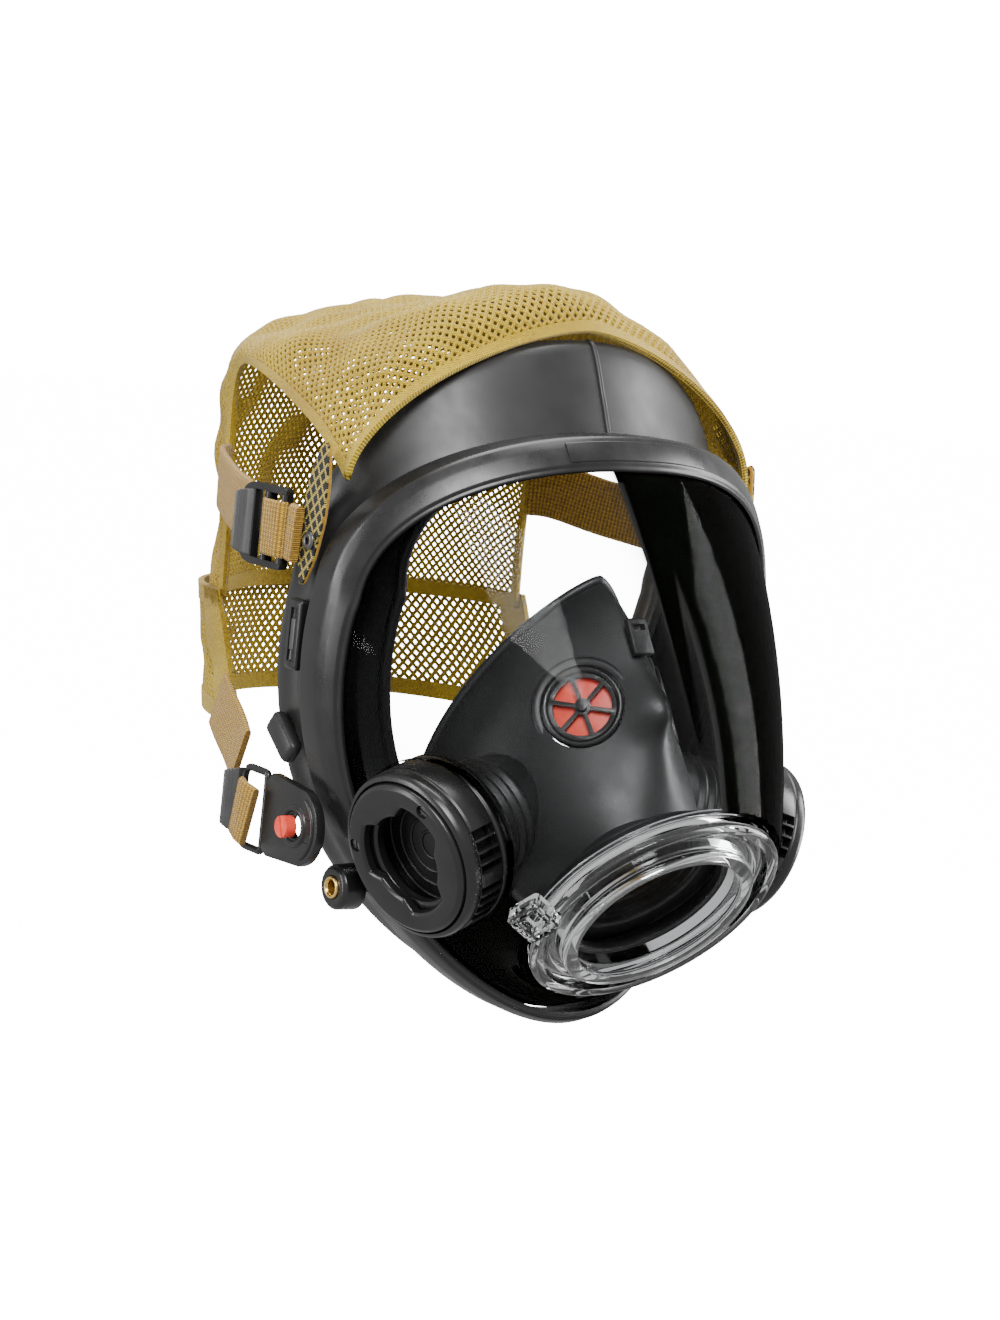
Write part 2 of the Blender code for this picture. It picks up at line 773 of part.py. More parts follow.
def make_bayonet_ring(centre, axis):
    """The drum's front ring, with three bayonet notches in its mouth and two screws."""
    steps = 36
    rings = []
    for index in range(steps):
        angle = 2 * math.pi * index / steps
        lobe = 0.5 + 0.5 * math.cos(3 * angle)
        bore = MOUTH_RADIUS - 3.2 * MM * min(1.0, max(0.0, 3 * lobe - 1.2))
        turn = Vector((math.cos(angle), math.sin(angle), 0))
        up = Vector((0, 0, 1))
        edge = turn * 21.6 * MM
        depth = up * 2.4 * MM
        rings.append([turn * bore, edge, edge - depth, turn * bore - depth])
    item = add_object("bayonet_ring", mesh_from(loft(rings, closed=True), "bayonet_ring"), hard_black())
    place(item, centre, axis)
    for index in range(2):
        angle = math.radians(60 + 120 * index)
        spot = Vector((18.8 * MM * math.cos(angle), 18.8 * MM * math.sin(angle), 0))
        bpy.ops.mesh.primitive_cylinder_add(vertices=12, radius=1.9 * MM, depth=2.4 * MM)
        hole = bpy.context.object
        hole.matrix_world = item.matrix_world @ Matrix.Translation(spot)
        cut(item, as_cutter(hole))
        head = disc("drum_screw", 1.5 * MM, 0.8 * MM, steel(), (0, 0, 0), (0, 0, 1), 12)
        head.matrix_world = item.matrix_world @ Matrix.Translation(spot - Vector((0, 0, 0.3 * MM)))
        pair(head, "drum_screw_" + str(index + 1))
    pair(item, "bayonet_ring")


# ---------------------------------------------------------------- head net
NET_CROWN = [(-23, 77), (-13, 87), (15, 84), (50, 80), (84, 71), (104, 54), (113, 32), (114, 8), (113, -17)]
NET_EDGE = [(-73, -15, 31), (-73, -2, 41), (-72, 18, 50), (-69, 40, 56), (-62, 60, 56), (-58, 69, 47),
            (-57, 70, 30), (-56, 69, 8), (-56, 68, -17)]


def net_rows(crown, edge, steps, power=1.0):
    """Rows of points across the net: an arch from one side edge over the middle to the other."""
    rows = []
    for middle, side in zip(crown, edge):
        row = []
        for index in range(-steps, steps + 1):
            turn = abs(index) / steps * math.pi / 2
            drop = (1 - math.cos(turn)) ** power
            x = side.x * math.sin(turn) * (1 if index < 0 else -1)
            y = middle.y + (side.y - middle.y) * drop
            z = middle.z + (side.z - middle.z) * drop
            row.append(Vector((x, y, z)))
        rows.append(row)
    return rows


def make_net():
    """The crown and back of the harness net, and the band round the nape below it."""
    crown = smooth_path([Vector((0, y, z)) * MM for y, z in NET_CROWN], 2)
    edge = smooth_path([Vector(point) * MM for point in NET_EDGE], 2)
    net = add_object("head_net", mesh_from(sheet(net_rows(crown, edge, 8, 0.75)), "head_net"), netting())
    face_forward(net, Vector((0, 0, 1)))
    solidify(net, NET_THICKNESS, 0.0)
    levels = (-18.5, -29, -40, -51)
    crown = [Vector((0, 113, z)) * MM for z in levels]
    edge = [Vector((-57 - (i == 3), 66 - 5 * i, z)) * MM for i, z in enumerate(levels)]
    band = add_object("nape_band", mesh_from(sheet(net_rows(crown, edge, 8)), "nape_band"), netting())
    face_forward(band, Vector((0, 1, 0)))
    solidify(band, NET_THICKNESS, 0.0)


# ---------------------------------------------------------------- temple straps
def make_temple_straps():
    """Each temple strap: webbing from the net, its buckle, the loop to the seal, label and rivet."""
    up = Vector((0, 0.05, 1))
    tail = [Vector(p) * MM for p in ((-63.5, 64, 22), (-71, 47, 19), (-78, 24.5, 16.5))]
    pair(webbing("temple_strap", tail, (up, up), WEB_WIDTH, webbing_brown()), "temple_strap")
    loop = [Vector(p) * MM for p in ((-80.8, -0.9, 14.4), (-81, -3.2, 14.2), (-81.1, -5.6, 14))]
    pair(webbing("temple_loop", loop, (up, up), WEB_WIDTH - 2 * MM, webbing_brown(), 2.6 * MM), "temple_loop")
    make_temple_buckle()
    make_label()


def make_temple_buckle():
    """A ladder-lock frame with a curved thumb tab. It turns on the webbing loop's bar."""
    hinge = Vector((-80.6, 0.6, 14.5)) * MM
    half = 11.5 * MM
    edge = [(0.4 * MM, -half), (18 * MM, -half), (22.4 * MM, -half * 0.8), (22.4 * MM, half * 0.8),
            (18 * MM, half), (0.4 * MM, half)]
    inside = 9.6 * MM
    front = [(2.6 * MM, -inside), (8.4 * MM, -inside), (8.4 * MM, inside), (2.6 * MM, inside)]
    back = [(10.6 * MM, -inside), (15.8 * MM, -inside), (15.8 * MM, inside), (10.6 * MM, inside)]
    plate = outline_plate("temple_buckle", [edge, front, back], 2.6 * MM, hard_black())
    plate.data.transform(STAND)
    bevel(plate, 0.5 * MM, 1, 50)
    plate.location = hinge
    pair(plate, "temple_buckle")


def make_label():
    """The woven label patch riveted over the seal's temple tab."""
    length = 21 * MM
    edge = [(0, -length), (5.5 * MM, -4 * MM), (4.6 * MM, 12 * MM), (0.5 * MM, length),
            (-2.6 * MM, length * 0.95),
            (-5 * MM, 0), (-3.4 * MM, -12 * MM)]
    slant = Matrix.Rotation(math.radians(8), 4, "X")
    tab = outline_plate("temple_tab", [[(x * 0.8 + 1 * MM, y * 0.72) for x, y in edge]], 1.7 * MM, rubber())
    tab.data.transform(slant @ STAND)
    tab.location = RIVET_CENTRE + Vector((3, 3, 4)) * MM
    label = outline_plate("label_patch", [edge], 1.4 * MM, netting())
    label.data.transform(slant @ STAND)
    label.location = RIVET_CENTRE + Vector((1.2, 0.6, 7)) * MM
    eyelet = [(0.9, 0), (1.8, 0), (2.4, -0.5), (2.4, -0.9), (0.9, -0.9)]
    rivet = turned("label_rivet", eyelet, steel(), RIVET_CENTRE - Vector((0.9, 0, 0)) * MM, (-1, 0, 0), 16)
    for item, name in ((tab, "temple_tab"), (label, "label_patch"), (rivet, "label_rivet")):
        pair(item, name)


# ---------------------------------------------------------------- neck straps
def make_neck_straps():
    """Each neck strap: webbing from the nape band, roller, bail, swivel plate and red button."""
    up = Vector((0, -0.36, 1))
    run = [Vector(p) * MM for p in ((-61, 58, -44), (-66, 42, -50), (-70.5, 28.5, -55.5))]
    pair(webbing("neck_strap", run, (up, up), WEB_WIDTH, webbing_brown()), "neck_strap")
    make_swivel_plate()
    make_bail()
    paddle = box("neck_tab", Vector((-71.6, 5.5, -45)) * MM, Vector((4.4, 15, 7.5)) * MM, rubber(),
                 (math.radians(38), 0, 0))
    bevel(paddle, 1.8 * MM, 2)
    pair(paddle, "neck_tab")


def side_plate(name, loops, thickness, look):
    """A plate lying in the YZ plane, from outlines of (Y, Z)."""
    item = outline_plate(name, loops, thickness, look)
    item.data.transform(STAND)
    return item


def make_swivel_plate():
    """The D-shaped plate that turns on the seal's neck tab, with the red release button in it."""
    nose = arc((0, 0), 11.5 * MM, -110, -250, 10)
    edge = nose + [(13 * MM, 12.4 * MM), (15.5 * MM, 10 * MM), (15.5 * MM, -10 * MM), (13 * MM, -11.6 * MM)]
    plate = side_plate("swivel_plate", [edge, circle((0, 0), 3.5 * MM, 18)], 3 * MM, hard_black())
    bevel(plate, 0.6 * MM, 1, 50)
    plate.location = BUTTON_CENTRE
    pair(plate, "swivel_plate")
    button = disc("release_button", 3.1 * MM, 3.4 * MM, red(), BUTTON_CENTRE + Vector((-2.5 * MM, 0, 0)),
                  (-1, 0, 0), 18)
    pair(button, "release_button")


def make_bail():
    """The wire bail on the swivel plate, with its roller, its thumb tab and the strap's loop."""
    hinge = BUTTON_CENTRE + Vector((0, 17.2, 0)) * MM
    half = 11.5 * MM
    path = [Vector((0, 0, -half)), Vector((0, 10 * MM, -half)), Vector((0, 12 * MM, -half + 2 * MM)),
            Vector((0, 12 * MM, half - 2 * MM)), Vector((0, 10 * MM, half)), Vector((0, 0, half))]
    bail = wire("strap_bail", path, 1.1 * MM, hard_black(), cyclic=True)
    bail.location = hinge
    pair(bail, "strap_bail")
    thumb = side_plate("thumb_tab", [[(13.6 * MM, -9 * MM), (18 * MM, -7 * MM), (18 * MM, 9 * MM),
                                      (13.6 * MM, 10.5 * MM)]], 2.6 * MM, hard_black())
    bevel(thumb, 0.6 * MM, 1, 50)
    thumb.location = hinge
    pair(thumb, "thumb_tab")
    up = Vector((0, 0, 1))
    drop = [Vector(p) * MM for p in ((-2.6, 11, 0), (-3.2, 7, -1), (-2.8, 3, -2))]
    fold = webbing("strap_fold", drop, (up, up), WEB_WIDTH, webbing_brown(), 2.2 * MM)
    fold.location = hinge
    pair(fold, "strap_fold")


make_lens()
make_bezel()
make_clamp_lugs()
make_port()
make_face_seal()
make_nose_cup()
make_valves()
make_drums()
make_net()
make_temple_straps()
make_neck_straps()
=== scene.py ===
import json
import math

import bmesh
import bpy
import numpy as np
from mathutils import Matrix, Vector, noise


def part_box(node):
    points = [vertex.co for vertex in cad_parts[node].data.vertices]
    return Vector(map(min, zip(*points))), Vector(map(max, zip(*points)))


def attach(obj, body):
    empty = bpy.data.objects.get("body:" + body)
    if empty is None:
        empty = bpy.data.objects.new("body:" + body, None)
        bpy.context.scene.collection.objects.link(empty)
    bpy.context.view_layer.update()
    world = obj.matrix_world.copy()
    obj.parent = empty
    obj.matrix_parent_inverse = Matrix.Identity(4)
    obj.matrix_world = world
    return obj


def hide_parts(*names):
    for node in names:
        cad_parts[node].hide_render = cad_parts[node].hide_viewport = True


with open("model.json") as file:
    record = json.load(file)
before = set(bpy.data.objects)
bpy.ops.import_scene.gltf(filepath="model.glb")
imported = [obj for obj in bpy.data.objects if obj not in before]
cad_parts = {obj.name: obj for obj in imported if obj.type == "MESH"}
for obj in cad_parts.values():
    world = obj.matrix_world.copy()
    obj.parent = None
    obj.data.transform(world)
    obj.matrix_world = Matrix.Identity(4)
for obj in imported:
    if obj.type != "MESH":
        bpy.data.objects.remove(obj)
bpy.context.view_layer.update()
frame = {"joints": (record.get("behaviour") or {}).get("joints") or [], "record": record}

MM = 0.001
MOUNTS = {mount["name"]: mount for mount in frame["record"]["mounts"]}
JOINTS = {joint["name"]: joint for joint in frame["joints"]}

# ---------------------------------------------------------------- the frame's own places
RIM_HALF_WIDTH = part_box("bezel_upper")[1].x
RIM_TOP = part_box("bezel_upper")[1].z
RIM_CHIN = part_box("bezel_lower")[0].z
RIM_MID = -5 * MM
RIM_POWER = 2.25
RIM_CHIN_POWER = 1.9
RIM_FRONT = -53.5 * MM
RIM_WRAP_RADIUS = 96 * MM
RIM_BOW_RADIUS = 500 * MM
RIM_TILT = 0.058
RIM_CHIN_WRAP = 100 * MM
BEZEL_FACE = 9 * MM
BEZEL_SPLIT = math.radians(-35)
CHIN_SPLIT = math.radians(-45)

PORT_AXIS = Vector(MOUNTS["port_front_rim"]["axis"])
PORT_UP = Vector((0, PORT_AXIS.z, -PORT_AXIS.y))
PORT_CENTRE = Vector(MOUNTS["port_front_rim"]["pos_m"]) - PORT_UP * 26.8 * MM
PORT_FLANGE_RADIUS = 38 * MM
PORT_FLANGE_BACK = 6 * MM
LENS_THICKNESS = 2.4 * MM
LENS_EDGE_IN = 4.5 * MM
LENS_EDGE_UNDER = 1.9 * MM
SLEEVE_RADIUS = 23 * MM
SLEEVE_BACK = 20 * MM

DRUM_AXIS = Vector(MOUNTS["drum_face_right"]["axis"])
RING_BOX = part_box("bayonet_ring_right")
DRUM_CENTRE = (RING_BOX[0] + RING_BOX[1]) / 2 + DRUM_AXIS * 1.2 * MM
DRUM_RADIUS = 24 * MM

CUP_HALF_WIDTH = 38 * MM
CUP_TOP = 8 * MM
CUP_WAIST = -62 * MM
CUP_CHIN = -104 * MM
CUP_THICKNESS = 2.4 * MM
VALVE_AXIS = -Vector(JOINTS["valve_lift_right"]["axis"])
SEAT_RADIUS = 11.8 * MM
VALVE_RADIUS = 9 * MM

BUTTON_CENTRE = Vector(JOINTS["neck_swivel_right"]["pos_m"])
BAIL_HINGE = Vector(JOINTS["bail_turn_right"]["pos_m"])
BUCKLE_HINGE = Vector(JOINTS["buckle_turn_right"]["pos_m"])
RIVET_CENTRE = Vector((-79.4, -9, 13)) * MM
MIRROR = Matrix.Scale(-1, 4, (1, 0, 0))


# ---------------------------------------------------------------- camera, lights and floor
def link(name, data):
    item = bpy.data.objects.new(name, data)
    bpy.context.scene.collection.objects.link(item)
    return item


def wire(tree, *pairs):
    """Joins a node tree's sockets, pair by pair."""
    for output, socket in pairs:
        tree.links.new(output, socket)


def point_camera():
    """The photograph's view: from the wearer's right, a little above and rolled a few degrees."""
    azimuth, elevation, roll = math.radians(-38), math.radians(8), math.radians(6.21)
    aim = Vector((13, 18.9, -25.3)) * MM
    back = Vector((math.sin(azimuth) * math.cos(elevation), -math.cos(azimuth) * math.cos(elevation),
                   math.sin(elevation)))
    data = bpy.data.cameras.new("camera")
    data.lens = 81
    camera = link("camera", data)
    camera.rotation_mode = "QUATERNION"
    level = (-back).to_track_quat("-Z", "Y")
    camera.rotation_quaternion = level @ Matrix.Rotation(roll, 4, "Z").to_quaternion()
    camera.location = aim + back * 0.9
    bpy.context.scene.camera = camera


def area_light(name, place, aim, size, power, tall=None):
    data = bpy.data.lights.new(name, "AREA")
    data.size = size
    if tall:
        data.shape = "RECTANGLE"
        data.size_y = tall
    data.energy = power
    light = link(name, data)
    light.location = place
    light.rotation_mode = "QUATERNION"
    light.rotation_quaternion = (Vector(aim) - Vector(place)).to_track_quat("-Z", "Y")


def light_studio():
    """A white room: bright where it is looked at, dimmer as a light, with soft boxes in it."""
    world = bpy.data.worlds.new("studio")
    bpy.context.scene.world = world
    world.use_nodes = True
    tree = world.node_tree
    output = tree.nodes["World Output"]
    seen = tree.nodes["Background"]
    seen.inputs["Color"].default_value = (1, 1, 1, 1)
    seen.inputs["Strength"].default_value = 16.0
    lit = tree.nodes.new("ShaderNodeBackground")
    lit.inputs["Color"].default_value = (1, 1, 1, 1)
    lit.inputs["Strength"].default_value = 0.65
    rays = tree.nodes.new("ShaderNodeLightPath")
    mix = tree.nodes.new("ShaderNodeMixShader")
    wire(tree, (rays.outputs["Is Camera Ray"], mix.inputs[0]), (lit.outputs[0], mix.inputs[1]),
         (seen.outputs[0], mix.inputs[2]), (mix.outputs[0], output.inputs["Surface"]))
    area_light("key", (-0.55, -0.75, 0.75), (0, 0, 0), 0.5, 16)
    area_light("side", (0.85, -0.35, 0.15), (0, 0, -0.02), 0.35, 14, 0.9)
    area_light("top", (0.1, 0.15, 0.9), (0, 0.02, 0), 0.7, 12)
    area_light("near", (-0.9, 0.25, 0.1), (0, 0, -0.03), 0.25, 6, 0.8)


def lay_floor():
    bpy.ops.mesh.primitive_plane_add(size=14, location=(0, 0, -0.42))
    floor = bpy.context.object
    floor.name = "floor"
    look = bpy.data.materials.new("pale_floor")
    look.use_nodes = True
    shader = look.node_tree.nodes["Principled BSDF"]
    shader.inputs["Base Color"].default_value = (0.9, 0.9, 0.9, 1)
    shader.inputs["Roughness"].default_value = 1.0
    shader.inputs["Emission Color"].default_value = (1, 1, 1, 1)
    shader.inputs["Emission Strength"].default_value = 15.0
    floor.data.materials.append(look)
    floor.visible_diffuse = False
    floor.visible_glossy = False
    floor.visible_transmission = False


point_camera()
light_studio()
lay_floor()


# ---------------------------------------------------------------- materials
class Look:
    """A Principled material and the nodes that are added to it."""

    def __init__(self, name, colour, roughness, metallic=0.0):
        self.material = bpy.data.materials.new(name)
        self.material.use_nodes = True
        self.tree = self.material.node_tree
        self.shader = self.tree.nodes["Principled BSDF"]
        self.set("Base Color", (*colour, 1))
        self.set("Roughness", roughness)
        self.set("Metallic", metallic)
        self.coords = self.tree.nodes.new("ShaderNodeTexCoord").outputs["Object"]
        self.height = None

    def set(self, socket, value):
        self.shader.inputs[socket].default_value = value

    def node(self, kind, inputs=None, **values):
        made = self.tree.nodes.new(kind)
        for key, value in values.items():
            setattr(made, key, value)
        for key, value in (inputs or {}).items():
            if isinstance(value, bpy.types.NodeSocket):
                self.tree.links.new(value, made.inputs[key])
            else:
                made.inputs[key].default_value = value
        return made

    def math(self, operation, first, second=0.0):
        return self.node("ShaderNodeMath", {0: first, 1: second}, operation=operation).outputs[0]

    def link(self, output, socket):
        self.tree.links.new(output, self.shader.inputs[socket])

    def noise(self, scale, detail=3.0, roughness=0.55):
        inputs = {"Vector": self.coords, "Scale": scale, "Detail": detail, "Roughness": roughness}
        return self.node("ShaderNodeTexNoise", inputs).outputs[0]

    def ramp(self, source, stops):
        made = self.node("ShaderNodeValToRGB", {"Fac": source})
        ramp = made.color_ramp
        while len(ramp.elements) < len(stops):
            ramp.elements.new(0.5)
        for element, (place, colour) in zip(ramp.elements, stops):
            element.position = place
            element.color = (*colour, 1) if len(colour) == 3 else colour
        return made.outputs["Color"]

    def grey(self, source, low, high, start=0.3, end=0.7):
        inputs = {"Value": source, "From Min": start, "From Max": end, "To Min": low, "To Max": high}
        return self.node("ShaderNodeMapRange", inputs).outputs["Result"]

    def bump(self, height, strength, distance):
        inputs = {"Height": height, "Strength": strength, "Distance": distance}
        if self.height:
            inputs["Normal"] = self.height
        self.height = self.node("ShaderNodeBump", inputs).outputs["Normal"]
        self.link(self.height, "Normal")

    def weave_uv(self):
        weave = self.node("ShaderNodeUVMap", uv_map="weave").outputs[0]
        split = self.node("ShaderNodeSeparateXYZ", {0: weave})
        return split.outputs["X"], split.outputs["Y"]

    def ridge(self, coordinate, pitch, phase=0.0):
        """A rounded ridge from 0 to 1 that repeats along a coordinate in metres."""
        turn = self.math("MULTIPLY_ADD", coordinate, 2 * math.pi / pitch)
        turn.node.inputs[2].default_value = phase
        made = self.math("MULTIPLY_ADD", self.math("SINE", turn), 0.5)
        made.node.inputs[2].default_value = 0.5
        return made

    def mix(self, share, first, second, blend="MIX"):
        inputs = {0: share, 6: first, 7: second}
        return self.node("ShaderNodeMix", inputs, data_type="RGBA", blend_type=blend).outputs[2]


def rubber_look(name="black_rubber", tone=0.013, rough=0.4):
    look = Look(name, (tone, tone, tone), rough)
    cloud = look.noise(28, 4)
    dark = (tone * 0.75, tone * 0.75, tone * 0.78)
    light = (tone * 1.5, tone * 1.5, tone * 1.52)
    look.link(look.ramp(cloud, [(0.3, dark), (0.72, light)]), "Base Color")
    look.link(look.grey(look.noise(60, 3), rough - 0.07, rough + 0.1), "Roughness")
    look.set("Specular IOR Level", 0.42)
    look.bump(look.noise(1400, 2), 0.05, 0.0001)
    look.bump(look.noise(45, 2), 0.05, 0.0006)
    return look.material


def plastic_look(name="black_nylon", tone=0.009, rough=0.28):
    look = Look(name, (tone, tone, tone), rough)
    tones = [(0.35, (tone * 0.8,) * 3), (0.7, (tone * 1.5,) * 3)]
    look.link(look.ramp(look.noise(40, 3), tones), "Base Color")
    look.link(look.grey(look.noise(120, 4), rough - 0.06, rough + 0.1), "Roughness")
    look.set("Specular IOR Level", 0.5)
    look.bump(look.noise(1800, 2), 0.1, 0.0001)
    return look.material


def clear_look():
    """Clear polycarbonate sheet: seen through, with a sheen that grows towards its edges."""
    material = bpy.data.materials.new("clear_lens")
    material.use_nodes = True
    tree = material.node_tree
    tree.nodes.remove(tree.nodes["Principled BSDF"])
    through = tree.nodes.new("ShaderNodeBsdfTransparent")
    through.inputs["Color"].default_value = (0.965, 0.972, 0.975, 1)
    gloss = tree.nodes.new("ShaderNodeBsdfGlossy")
    gloss.inputs["Color"].default_value = (0.09, 0.09, 0.09, 1)
    gloss.inputs["Roughness"].default_value = 0.04
    fresnel = tree.nodes.new("ShaderNodeFresnel")
    fresnel.inputs["IOR"].default_value = 1.42
    mix = tree.nodes.new("ShaderNodeMixShader")
    wire(tree, (fresnel.outputs[0], mix.inputs[0]), (through.outputs[0], mix.inputs[1]),
         (gloss.outputs[0], mix.inputs[2]), (mix.outputs[0], tree.nodes["Material Output"].inputs["Surface"]))
    return material


def glass_look():
    """Thick clear polycarbonate, which bends what is behind it."""
    look = Look("clear_polycarbonate", (0.97, 0.98, 0.985), 0.02)
    look.set("Transmission Weight", 1.0)
    look.set("IOR", 1.5)
    look.link(look.grey(look.noise(300, 2), 0.01, 0.05), "Roughness")
    return look.material


def yarn_look():
    """Golden knitted net: fine yarn with painted shade in the gaps between its strands, random fibre tone and
    faded high spots.
    """
    look = Look("yellow_netting", (0.62, 0.42, 0.06), 0.85)
    across, along = look.weave_uv()
    plies_with_painted_shade = look.math("MULTIPLY", look.ridge(look.math("ADD", across, along), 0.00075),
                      look.ridge(look.math("SUBTRACT", across, along), 0.00075))
    fibre = look.noise(1500, 2)
    shade = look.math("ADD", look.math("MULTIPLY", plies_with_painted_shade, 0.6), look.math("MULTIPLY", fibre, 0.6))
    # The dark end of this ramp is painted shade in the gaps between yarn strands; the fibre noise adds random
    # tone.
    tones = [(0.2, (0.2, 0.115, 0.002)), (0.5, (0.5, 0.34, 0.008)), (0.85, (0.74, 0.56, 0.035))]
    yarn = look.ramp(shade, tones)
    faded = look.ramp(look.noise(22, 3), [(0.35, (0.72, 0.66, 0.55)), (0.65, (1.0, 1.0, 1.0))])
    look.link(look.mix(1.0, yarn, faded, "MULTIPLY"), "Base Color")
    look.set("Sheen Weight", 0.25)
    look.set("Sheen Roughness", 0.5)
    look.set("Specular IOR Level", 0.25)
    look.bump(shade, 0.6, 0.0003)
    return look.material


def webbing_look(name, dark, middle, light):
    """Knitted elastic webbing: narrow ribs along the strap, with slanting stitches across them, and painted
    shade darkening the grooves between them.
    """
    look = Look(name, middle, 0.88)
    across, along = look.weave_uv()
    rib = look.ridge(across, 0.0012)
    slant = look.math("MULTIPLY", look.math("ABSOLUTE", look.math("SUBTRACT", rib, 0.5)), 0.0012)
    stitch = look.ridge(look.math("ADD", along, slant), 0.0013)
    ply_and_painted_shade = look.math("MULTIPLY", stitch, look.grey(rib, 0.45, 1.0, 0.0, 1.0))
    fibre = look.math("MULTIPLY", look.noise(900, 3), 0.45)
    shade = look.math("ADD", look.math("MULTIPLY", ply_and_painted_shade, 0.75), fibre)
    # The dark colour is painted shade in the grooves between ribs and stitches; the fibre noise adds random
    # tone.
    look.link(look.ramp(shade, [(0.18, dark), (0.5, middle), (0.9, light)]), "Base Color")
    look.set("Sheen Weight", 0.3)
    look.set("Specular IOR Level", 0.2)
    look.bump(shade, 0.8, 0.0005)
    return look.material


def label_look():
    """Woven label: black ground with a yellow lattice of diamonds and a striped border, with painted shade in
    the grooves between its woven yarns.
    """
    look = Look("label_weave", (0.02, 0.02, 0.02), 0.8)
    across, along = look.weave_uv()
    fold_u = look.math("PINGPONG", look.math("MULTIPLY", across, 1000 / 1.7), 1.0)
    fold_v = look.math("PINGPONG", look.math("MULTIPLY", along, 1000 / 2.3), 1.0)
    diamond = look.math("ABSOLUTE", look.math("SUBTRACT", look.math("ADD", fold_u, fold_v), 1.0))
    yarn = look.math("LESS_THAN", diamond, 0.26)
    thread_height_and_painted_shade = look.math("MULTIPLY", look.ridge(across, 0.0006), look.ridge(along, 0.0006))
    # Both ramps run dark to light across each woven yarn: painted shade in the grooves between yarns.
    gold = look.ramp(thread_height_and_painted_shade, [(0.1, (0.26, 0.19, 0.03)), (0.8, (0.72, 0.6, 0.18))])
    ground = look.ramp(thread_height_and_painted_shade, [(0.1, (0.006, 0.006, 0.006)), (0.9, (0.05, 0.05, 0.05))])
    look.link(look.mix(yarn, ground, gold), "Base Color")
    look.bump(thread_height_and_painted_shade, 0.6, 0.0003)
    return look.material


def red_look():
    look = Look("red_silicone", (0.86, 0.06, 0.035), 0.42)
    tones = [(0.3, (0.72, 0.04, 0.02)), (0.7, (0.95, 0.1, 0.06))]
    look.link(look.ramp(look.noise(300, 3), tones), "Base Color")
    look.set("Subsurface Weight", 0.15)
    look.set("Subsurface Scale", 0.002)
    look.bump(look.noise(1200, 2), 0.15, 0.0002)
    return look.material


def metal_look(name, colour, roughness):
    look = Look(name, colour, roughness, 1.0)
    look.link(look.grey(look.noise(900, 3), roughness - 0.1, roughness + 0.15), "Roughness")
    look.bump(look.noise(1400, 2), 0.1, 0.0001)
    return look.material


RUBBER = rubber_look()
SOFT_RUBBER = rubber_look("cup_rubber", 0.016, 0.42)
PLASTIC = plastic_look()
GREY_PLASTIC = plastic_look("grey_nylon", 0.05, 0.34)
LENS = clear_look()
GLASS = glass_look()
NETTING = yarn_look()
# The first colour is painted shade for the grooves between the webbing's ribs and stitches.
WEBBING = webbing_look("brown_webbing", (0.11, 0.05, 0.003), (0.36, 0.19, 0.012), (0.62, 0.38, 0.04))
LABEL = label_look()
RED = red_look()
BRASS = metal_look("brass", (0.78, 0.55, 0.2), 0.28)
STEEL = metal_look("dark_steel", (0.16, 0.16, 0.17), 0.3)


# ---------------------------------------------------------------- mesh helpers
def shade(mesh, sharp=38):
    mesh.shade_smooth()
    mesh.set_sharp_from_angle(angle=math.radians(sharp))


def mesh_object(name, verts, faces, look, uvs=None, sharp=38):
    """A smooth-shaded mesh object. uvs holds one (across, along) in metres for each vertex."""
    mesh = bpy.data.meshes.new(name)
    mesh.from_pydata([tuple(v) for v in verts], [], [tuple(f) for f in faces])
    if uvs is not None:
        layer = mesh.uv_layers.new(name="weave")
        corners = np.zeros(len(mesh.loops), np.int32)
        mesh.loops.foreach_get("vertex_index", corners)
        layer.data.foreach_set("uv", np.asarray(uvs, np.float32)[corners].ravel())
    mesh.materials.append(look)
    if sharp:
        shade(mesh, sharp)
    else:
        mesh.shade_smooth()
    return link(name, mesh)


def face_outward(item):
    """Turns a closed piece's faces outward."""
    work = bmesh.new()
    work.from_mesh(item.data)
    bmesh.ops.recalc_face_normals(work, faces=work.faces[:])
    work.to_mesh(item.data)
    work.free()
    return item


def quads(rows, spans, wrap):
    """Four-cornered faces between neighbouring rows of points."""
    count = len(rows[0])
    faces = []
    for row in range(spans):
        low, high = row * count, ((row + 1) % len(rows)) * count
        for index in range(count if wrap else count - 1):
            other = (index + 1) % count
            faces.append((low + index, low + other, high + other, high + index))
    return faces


def loft(name, rings, look, closed=False, uvs=None, sharp=38):
    """A solid through rings of points. A closed loft joins its last ring to its first."""
    count = len(rings[0])
    verts = [point for ring in rings for point in ring]
    faces = quads(rings, len(rings) - (not closed), True)
    if not closed:
        faces.append(tuple(range(count)))
        faces.append(tuple(reversed(range(len(verts) - count, len(verts)))))
    return face_outward(mesh_object(name, verts, faces, look, uvs, sharp))


def surface(name, rows, look, thickness, offset=0.0, wrap=False, uvs=None, sharp=38):
    """A wall through rows of points. Offset 1 grows it outward, -1 inward."""
    verts = [point for row in rows for point in row]
    item = face_forward(mesh_object(name, verts, quads(rows, len(rows) - 1, wrap), look, uvs, None))
    wall = item.modifiers.new("wall", "SOLIDIFY")
    wall.thickness = thickness
    wall.offset = offset
    return apply_modifiers(item, sharp)


def face_forward(item):
    """Turns an open surface to face the front on the whole."""
    if sum(face.normal.y * face.area for face in item.data.polygons) > 0:
        item.data.flip_normals()
    return item


def evaluated_mesh(item):
    depsgraph = bpy.context.evaluated_depsgraph_get()
    depsgraph.update()
    return bpy.data.meshes.new_from_object(item.evaluated_get(depsgraph), depsgraph=depsgraph)


def apply_modifiers(item, sharp=38):
    mesh = evaluated_mesh(item)
    item.modifiers.clear()
    item.data = mesh
    shade(mesh, sharp)
    return item


